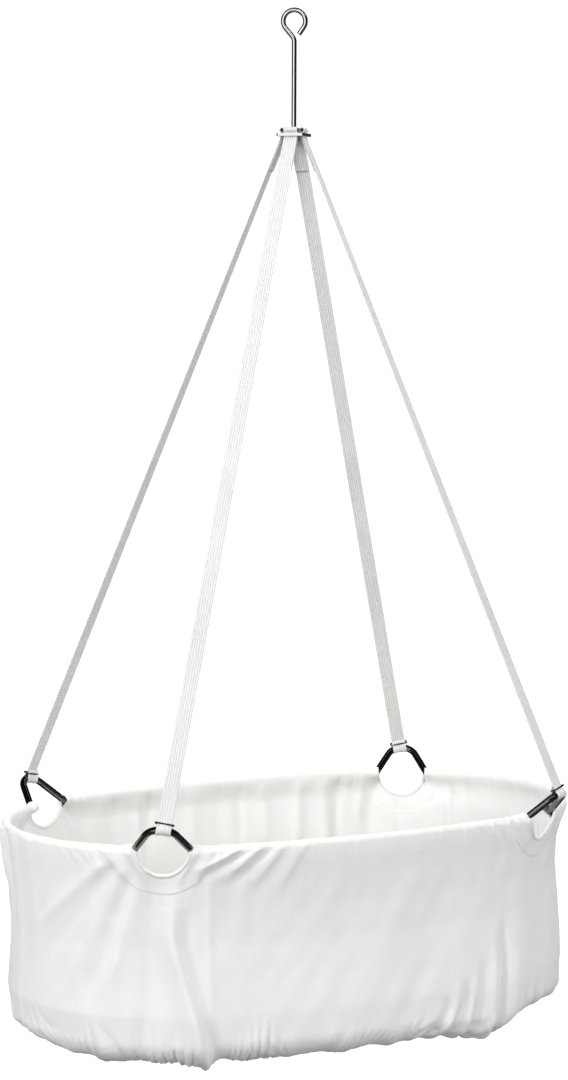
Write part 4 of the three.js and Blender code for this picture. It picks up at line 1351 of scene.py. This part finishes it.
def build_straps():
    """The webbing: its section carried along its route, curved where it goes round the bow."""
    x, half = webbing_section()
    for name, (sx, sy) in CORNERS.items():
        points, across = strap_path(sx, sy)
        points = smooth_rows(points, 2)
        (centre, *_), place, _ = bow_loop(sx, sy)
        # 1 where the webbing follows the bend of the bow
        near = np.exp(-(np.linalg.norm(points - place, axis=1) / 0.011) ** 4)
        tangent = np.gradient(points, axis=0)
        tangent /= np.linalg.norm(tangent, axis=1)[:, None]
        across = across - tangent * np.sum(across * tangent, axis=1)[:, None]
        across /= np.linalg.norm(across, axis=1)[:, None]
        through = np.cross(tangent, across)
        sag = BOW_BEND - np.sqrt(BOW_BEND ** 2 - x ** 2)
        ring_x = np.concatenate([x, x[::-1]])
        ring_half = np.concatenate([half, -half[::-1]])
        ring_sag = np.concatenate([sag, sag[::-1]])
        verts = (points[:, None, :] + across[:, None, :] * ring_x[None, :, None]
                 + through[:, None, :] * ring_half[None, :, None]
                 - unit(place - centre)[None, None, :] * (near[:, None] * ring_sag[None, :])[..., None])
        count = len(ring_x)
        faces = [tuple(f) for f in grid_faces(len(points), count, closed_columns=True)]
        last = (len(points) - 1) * count
        for i in range(len(x) - 1):
            faces.append((i, i + 1, count - 2 - i, count - 1 - i))
            faces.append((last + i + 1, last + i, last + count - 1 - i, last + count - 2 - i))
        travel = np.r_[0, np.cumsum(np.linalg.norm(np.diff(points, axis=0), axis=1))]
        uv = np.stack(np.broadcast_arrays(ring_x[None, :], travel[:, None]), -1).reshape(-1, 2)
        obj = new_mesh_object(f"webbing_{name}", verts.reshape(-1, 3), faces, uv)
        fix_normals(obj)
        finish_piece(obj, MATERIALS["webbing"], "cradle", "webbing", f"strap_{name}")


def build_strap_stitches():
    """Box stitches where the webbing is sewn to itself near the top, on both faces."""
    paths = []
    for sx, sy in CORNERS.values():
        mouth, place, across_top, across_low = strap_line(sx, sy)
        length = np.linalg.norm(place - mouth)
        down = (place - mouth) / length
        first, last = BOX_STITCHES
        share = (first + last) / 2 / length
        width = unit(across_top * (1 - share) + across_low * share)
        through = unit(np.cross(down, width))
        half = WEBBING_WIDTH / 2 - 0.0022
        rows = [(first, -half, first, half), (last, -half, last, half),
                (first, -half, last, -half), (first, half, last, half),
                (first, -half, last, half), (first, half, last, -half)]
        for face in (-1, 1):
            lift = through * face * (WEBBING_THICKNESS + 0.0001)
            for t0, w0, t1, w1 in rows:
                start = mouth + down * t0 + width * w0 + lift
                finish = mouth + down * t1 + width * w1 + lift
                paths.append(straight(start, finish, 0.002))
    stitch_rows("strap_stitches", paths, "cradle", "webbing", 0.00028)


def build_keepers():
    """The wire ring round each strap just above the bow: a closed rectangle with round corners."""
    for name, (sx, sy) in CORNERS.items():
        mouth, place, _, loop_along = strap_line(sx, sy)
        up = unit(mouth - place)
        through = unit(np.cross(up, loop_along))
        across = np.cross(through, up)
        middle = place + up * KEEPER_RISE
        half_x = WEBBING_WIDTH / 2 + 0.001 + KEEPER_RADIUS
        half_y = WEBBING_THICKNESS + 0.0005 + KEEPER_RADIUS
        path = []
        for cx, cy, start in ((1, 1, 0), (-1, 1, 90), (-1, -1, 180), (1, -1, 270)):
            for angle in np.radians(np.linspace(start, start + 90, 7)):
                x = cx * (half_x - KEEPER_CORNER) + KEEPER_CORNER * math.cos(angle)
                y = cy * (half_y - KEEPER_CORNER) + KEEPER_CORNER * math.sin(angle)
                path.append(middle + across * x + through * y)
        path = np.array(path)
        tangent = np.roll(path, -1, axis=0) - np.roll(path, 1, axis=0)
        tangent /= np.linalg.norm(tangent, axis=1)[:, None]
        side = np.cross(tangent, up)
        turn = np.linspace(0, 2 * math.pi, 14, endpoint=False)
        ring = np.cos(turn)[None, :, None] * side[:, None, :] + np.sin(turn)[None, :, None] * up
        verts = (path[:, None, :] + KEEPER_RADIUS * ring).reshape(-1, 3)
        faces = grid_faces(len(path), len(turn), closed_rows=True, closed_columns=True)
        obj = new_mesh_object(f"keeper_{name}", verts, faces)
        fix_normals(obj)
        finish_piece(obj, MATERIALS["wire"], "cradle", "dark_wire", f"strap_keeper_{name}")


# ---- mattress ----


QUILT = 0.09  # from one quilted hollow of the mattress to the next
QUILT_DEPTH = 0.0016
PAD_EDGE = 0.015  # radius of the mattress's edges
PAD_VOXEL = 0.006
PAD_AIR = 4.0  # pressure in the pad while it is blown up
PAD_FRAMES = 20
PAD_SWELL = 0.006  # no point moves further than this


def mesh_arrays(mesh):
    """The corners of a mesh, and its faces as lists of them."""
    verts = np.empty(len(mesh.vertices) * 3)
    mesh.vertices.foreach_get("co", verts)
    return verts.reshape(-1, 3), [tuple(face.vertices) for face in mesh.polygons]


def evaluated_mesh(obj):
    """A plain mesh of the object with its modifiers applied."""
    return bpy.data.meshes.new_from_object(obj.evaluated_get(bpy.context.evaluated_depsgraph_get()))


def blow_up(verts, faces):
    """Swells a closed pad as cloth with a little air in it. Gives the corners and faces of a denser mesh."""
    scene = bpy.context.scene
    obj = new_mesh_object("pad_start", verts, faces, verts[:, :2])
    fix_normals(obj)
    remesh = obj.modifiers.new("remesh", "REMESH")
    remesh.mode = "VOXEL"
    remesh.voxel_size = PAD_VOXEL
    obj.data = evaluated_mesh(obj)
    obj.modifiers.remove(remesh)
    start, dense_faces = mesh_arrays(obj.data)
    cloth = obj.modifiers.new("cloth", "CLOTH")
    cloth.settings.use_pressure = True
    cloth.settings.uniform_pressure_force = PAD_AIR
    cloth.settings.effector_weights.gravity = 0.0
    cloth.collision_settings.use_collision = False
    for frame_number in range(1, PAD_FRAMES + 1):
        scene.frame_set(frame_number)
    swollen, _ = mesh_arrays(evaluated_mesh(obj))
    obj.modifiers.remove(cloth)
    bpy.data.objects.remove(obj)
    scene.frame_set(1)
    move = swollen - start
    length = np.linalg.norm(move, axis=1, keepdims=True)
    return start + move * np.minimum(1.0, PAD_SWELL / np.maximum(length, 1e-9)), dense_faces


def build_mattress():
    """The mattress: a rounded pad, blown up softly as cloth and then quilted."""
    low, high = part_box("mattress")
    thickness = high.z - low.z
    inset = HALF_LENGTH - high.x
    s = np.linspace(0, ROUND, 300, endpoint=False)
    xy, out = plan_at(s)
    edge = PAD_EDGE
    levels = []
    for angle in np.linspace(-math.pi / 2, math.pi / 2, 9):
        levels.append((inset + edge - edge * math.cos(angle), math.sin(angle)))
    rings = []
    for ring_inset, lift in levels:
        z = (low.z + high.z) / 2 + lift * edge + math.copysign(thickness / 2 - edge, lift) * (lift != 0)
        z = z - PAD_SWELL * 0.8 * (lift > 0) * lift
        rings.append(np.c_[xy - out * (ring_inset + PAD_SWELL * 0.7), np.full(len(s), z)])
    top = rings[-1]
    shares = np.linspace(1, 0, 22)[1:-1]
    caps_top = [np.c_[top[:, :2] * share, top[:, 2]] for share in shares]
    bottom = rings[0]
    caps_bottom = [np.c_[bottom[:, :2] * share, bottom[:, 2]] for share in shares[::-1]]
    rows = caps_bottom + rings + caps_top
    verts = np.vstack([[[0, 0, bottom[0, 2]]], *rows, [[0, 0, top[0, 2]]]])
    count = len(s)
    faces = [tuple(1 + f) for f in grid_faces(len(rows), count, closed_columns=True)]
    tip = len(verts) - 1
    start = 1 + (len(rows) - 1) * count
    faces += [(0, 1 + (i + 1) % count, 1 + i) for i in range(count)]
    faces += [(tip, start + i, start + (i + 1) % count) for i in range(count)]
    verts, faces = blow_up(verts, faces)
    quilt = np.cos(verts[:, 0] * 2 * math.pi / QUILT) * np.cos(verts[:, 1] * 2 * math.pi / QUILT)
    reach = np.linalg.norm(verts[:, :2] / [high.x, high.y], axis=1)
    upper = smoothstep((low.z + high.z) / 2, high.z - edge / 2, verts[:, 2])
    verts[:, 2] += QUILT_DEPTH * quilt * (1 - smoothstep(0.80, 0.97, reach)) * upper
    verts[:, 2] = np.maximum(verts[:, 2], low.z + 0.0004)
    obj = new_mesh_object("mattress_pad", verts, faces, verts[:, :2] + verts[:, 2:] * 0.7)
    fix_normals(obj)
    finish_piece(obj, MATERIALS["ticking"], "mattress", "ticking", "mattress")


# ---- the frame's own pieces, and the stage ----


def dress_frame():
    """Materials for the frame's pieces that show as they are."""
    finishes = {
        "rod_nut": "steel", "cup_washer": "steel", "dome_washer": "steel", "bearing_liner": "nylon",
        "front_rail": "steel", "back_rail": "steel", "left_rail": "steel", "right_rail": "steel",
        "base_board": "plywood",
    }
    for node, finish in finishes.items():
        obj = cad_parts[node]
        obj.data.materials.clear()
        obj.data.materials.append(MATERIALS[finish])


def stage_material(name, colour, glow):
    """A pale matt surface that glows for the camera, and stays dim in the polished steel."""
    material, tree, shader, vector = new_material(name)
    mask = noise(tree, vector, 1.5, 2.0)
    low = [c * 0.985 for c in colour]
    rays = tree.nodes.new("ShaderNodeLightPath")
    dim = tree.nodes.new("ShaderNodeMix")
    dim.data_type = "RGBA"
    tree.links.new(rays.outputs["Is Glossy Ray"], dim.inputs["Factor"])
    tree.links.new(mixed_colour(tree, mask, low, colour), dim.inputs["A"])
    dim.inputs["B"].default_value = (0.05, 0.05, 0.052, 1)
    tree.links.new(dim.outputs["Result"], shader.inputs["Base Color"])
    shader.inputs["Roughness"].default_value = 0.9
    seen = maths(tree, "MULTIPLY", rays.outputs["Is Camera Ray"], glow)
    tree.links.new(seen, shader.inputs["Emission Strength"])
    shader.inputs["Emission Color"].default_value = (1, 1, 1, 1)
    return material


def build_stage_sweep():
    """Pale floor that curves up behind the cradle."""
    floor = RIM_Z - DEPTH - 0.55
    radius, depth_back, height, half = 2.2, 6.5, 7.0, 9.0
    profile = [(-5.0, 0.0), (depth_back - radius, 0.0)]
    for angle in np.linspace(0, math.pi / 2, 24)[1:]:
        profile.append((depth_back - radius + radius * math.sin(angle), radius - radius * math.cos(angle)))
    profile.append((depth_back, height))
    turn = Matrix.Rotation(CAMERA_YAW, 3, "Z")
    verts = []
    for y, z in profile:
        for x in (-half, half):
            place = turn @ Vector((x, y, 0))
            verts.append((place.x, place.y, floor + z))
    faces = [(2 * i, 2 * i + 1, 2 * i + 3, 2 * i + 2) for i in range(len(profile) - 1)]
    obj = new_mesh_object("floor_sweep", verts, faces)
    obj.data.materials.append(stage_material("pale_floor", (0.26, 0.26, 0.26), 1.0))


CAMERA_YAW = math.radians(-27.85)
CAMERA_PITCH = math.radians(5.13)
CAMERA_ROLL = math.radians(0.24)
CAMERA_PLACE = (-1.9352, -3.6384, RIM_Z + 0.7549)
CAMERA_LENS = 97.8


def build_camera():
    data = bpy.data.cameras.new("camera")
    data.lens = CAMERA_LENS
    data.sensor_width = 36
    data.clip_start = 0.05
    data.clip_end = 100
    camera = link_object("camera", data)
    turn = (Matrix.Rotation(CAMERA_YAW, 4, "Z") @ Matrix.Rotation(math.pi / 2 - CAMERA_PITCH, 4, "X")
            @ Matrix.Rotation(CAMERA_ROLL, 4, "Z"))
    camera.matrix_world = Matrix.Translation(CAMERA_PLACE) @ turn
    bpy.context.scene.camera = camera


def area_light(name, place, target, size, power, reflected):
    """A rectangular soft box, placed as seen from the camera."""
    data = bpy.data.lights.new(name, "AREA")
    data.shape = "RECTANGLE"
    data.size, data.size_y = size
    data.energy = power
    lamp = link_object(name, data)
    turn = Matrix.Rotation(CAMERA_YAW, 3, "Z")
    lamp.location = turn @ Vector(place)
    aim = turn @ Vector(target) - lamp.location
    lamp.rotation_euler = aim.to_track_quat("-Z", "Y").to_euler()
    lamp.visible_glossy = reflected


LIGHTS = {
    # name: place, aimed at, size, power
    "strip": ((0, -2.2, 1.4), (0, 0, -1.0), (4.2, 0.30), 15),
    "key": ((-2.5, -2.4, 0.5), (0, 0, -1.2), (1.4, 2.0), 73),
    "fill": ((2.7, -2.5, 0.6), (0, 0, -1.2), (1.6, 2.2), 57),
    "back": ((0.6, 3.0, 1.3), (0, 0, -1.2), (2.8, 1.4), 70),
}
REFLECTED = ("strip",)  # the soft boxes that show in the polished steel
WORLD_LIGHT = 0.70  # for matt surfaces
REFLECTED_DARK = 0.015  # the studio's sides, as polished steel sees them
REFLECTED_BRIGHT = 1.15  # and the wall behind the camera


def build_world():
    """Even light for matt surfaces. Polished steel sees one bright wall in a dark room."""
    world = bpy.data.worlds.new("studio")
    world.use_nodes = True
    tree = world.node_tree
    background = tree.nodes["Background"]
    background.inputs["Color"].default_value = (1, 1, 1, 1)
    place = tree.nodes.new("ShaderNodeTexCoord")
    toward = tree.nodes.new("ShaderNodeVectorMath")
    toward.operation = "DOT_PRODUCT"
    tree.links.new(place.outputs["Generated"], toward.inputs[0])
    heading = CAMERA_YAW - math.radians(24)
    toward.inputs[1].default_value = (math.sin(heading), -math.cos(heading), 0.0)
    wall = spread(tree, toward.outputs["Value"], 0.84, 0.92, REFLECTED_DARK, REFLECTED_BRIGHT)
    rays = tree.nodes.new("ShaderNodeLightPath")
    mirrored = rays.outputs["Is Glossy Ray"]
    plain = maths(tree, "MULTIPLY", maths(tree, "SUBTRACT", 1.0, mirrored), WORLD_LIGHT)
    total = maths(tree, "ADD", maths(tree, "MULTIPLY", wall, mirrored), plain)
    tree.links.new(total, background.inputs["Strength"])
    bpy.context.scene.world = world
    bpy.context.scene.view_settings.view_transform = "Standard"


def build_lights():
    """Soft boxes placed as seen from the camera: x to the right, y away from it."""
    for name, (place, target, size, power) in LIGHTS.items():
        area_light(name, place, target, size, power, name in REFLECTED)


# ---- operators, panel and registration ----


class CRADLE_OT_camera(bpy.types.Operator):
    """Set the camera"""

    bl_idname = "cradle.camera"
    bl_label = "Camera"

    def execute(self, context):
        build_camera()
        return {"FINISHED"}


class CRADLE_OT_materials(bpy.types.Operator):
    """Build the shared node groups and the materials"""

    bl_idname = "cradle.materials"
    bl_label = "Materials"

    def execute(self, context):
        build_materials()
        return {"FINISHED"}


class CRADLE_OT_canvas(bpy.types.Operator):
    """Make the canvas tub, its edges, its bottom and its stitches"""

    bl_idname = "cradle.canvas"
    bl_label = "Canvas tub"

    def execute(self, context):
        build_canvas()
        build_scoop_bindings()
        build_base_panel()
        build_hem()
        build_canvas_stitches()
        return {"FINISHED"}


class CRADLE_OT_steel(bpy.types.Operator):
    """Make the corner bows, the eye rod, the plate and the pins"""

    bl_idname = "cradle.steel"
    bl_label = "Steel"

    def execute(self, context):
        build_bows()
        build_eye_rod()
        build_plate()
        build_pins()
        return {"FINISHED"}


class CRADLE_OT_straps(bpy.types.Operator):
    """Make the webbing straps, their stitches and their keepers"""

    bl_idname = "cradle.straps"
    bl_label = "Straps"

    def execute(self, context):
        build_straps()
        build_strap_stitches()
        build_keepers()
        return {"FINISHED"}


class CRADLE_OT_mattress(bpy.types.Operator):
    """Make the mattress"""

    bl_idname = "cradle.mattress"
    bl_label = "Mattress"

    def execute(self, context):
        build_mattress()
        return {"FINISHED"}


class CRADLE_OT_frame_pieces(bpy.types.Operator):
    """Dress the pieces that come from the frame"""

    bl_idname = "cradle.frame_pieces"
    bl_label = "Frame pieces"

    def execute(self, context):
        dress_frame()
        return {"FINISHED"}


class CRADLE_OT_stage(bpy.types.Operator):
    """Make the floor, the lights and the world"""

    bl_idname = "cradle.stage"
    bl_label = "Stage"

    def execute(self, context):
        build_stage_sweep()
        build_lights()
        build_world()
        return {"FINISHED"}


OPERATORS = (
    CRADLE_OT_camera,
    CRADLE_OT_materials,
    CRADLE_OT_canvas,
    CRADLE_OT_steel,
    CRADLE_OT_straps,
    CRADLE_OT_mattress,
    CRADLE_OT_frame_pieces,
    CRADLE_OT_stage,
)


class CRADLE_PT_panel(bpy.types.Panel):
    """Sizes, colours and the pieces of the cradle."""

    bl_idname = "CRADLE_PT_panel"
    bl_label = "Hanging Cradle"
    bl_space_type = "VIEW_3D"
    bl_region_type = "UI"
    bl_category = "Cradle"

    def draw(self, context):
        for settings in (context.scene.cradle_sizes, context.scene.cradle_colours):
            box = self.layout.box()
            for name in settings.__annotations__:
                box.prop(settings, name)
        for operator in OPERATORS:
            self.layout.operator(operator.bl_idname)


CLASSES = (CradleSizes, CradleColours, *OPERATORS, CRADLE_PT_panel)


def register():
    for cls in CLASSES:
        bpy.utils.register_class(cls)
    bpy.types.Scene.cradle_sizes = PointerProperty(type=CradleSizes)
    bpy.types.Scene.cradle_colours = PointerProperty(type=CradleColours)


def unregister():
    del bpy.types.Scene.cradle_colours
    del bpy.types.Scene.cradle_sizes
    for cls in reversed(CLASSES):
        bpy.utils.unregister_class(cls)


def main():
    register()
    for operator in OPERATORS:
        getattr(bpy.ops.cradle, operator.bl_idname.split(".")[1])()


if __name__ == "__main__":
    main()
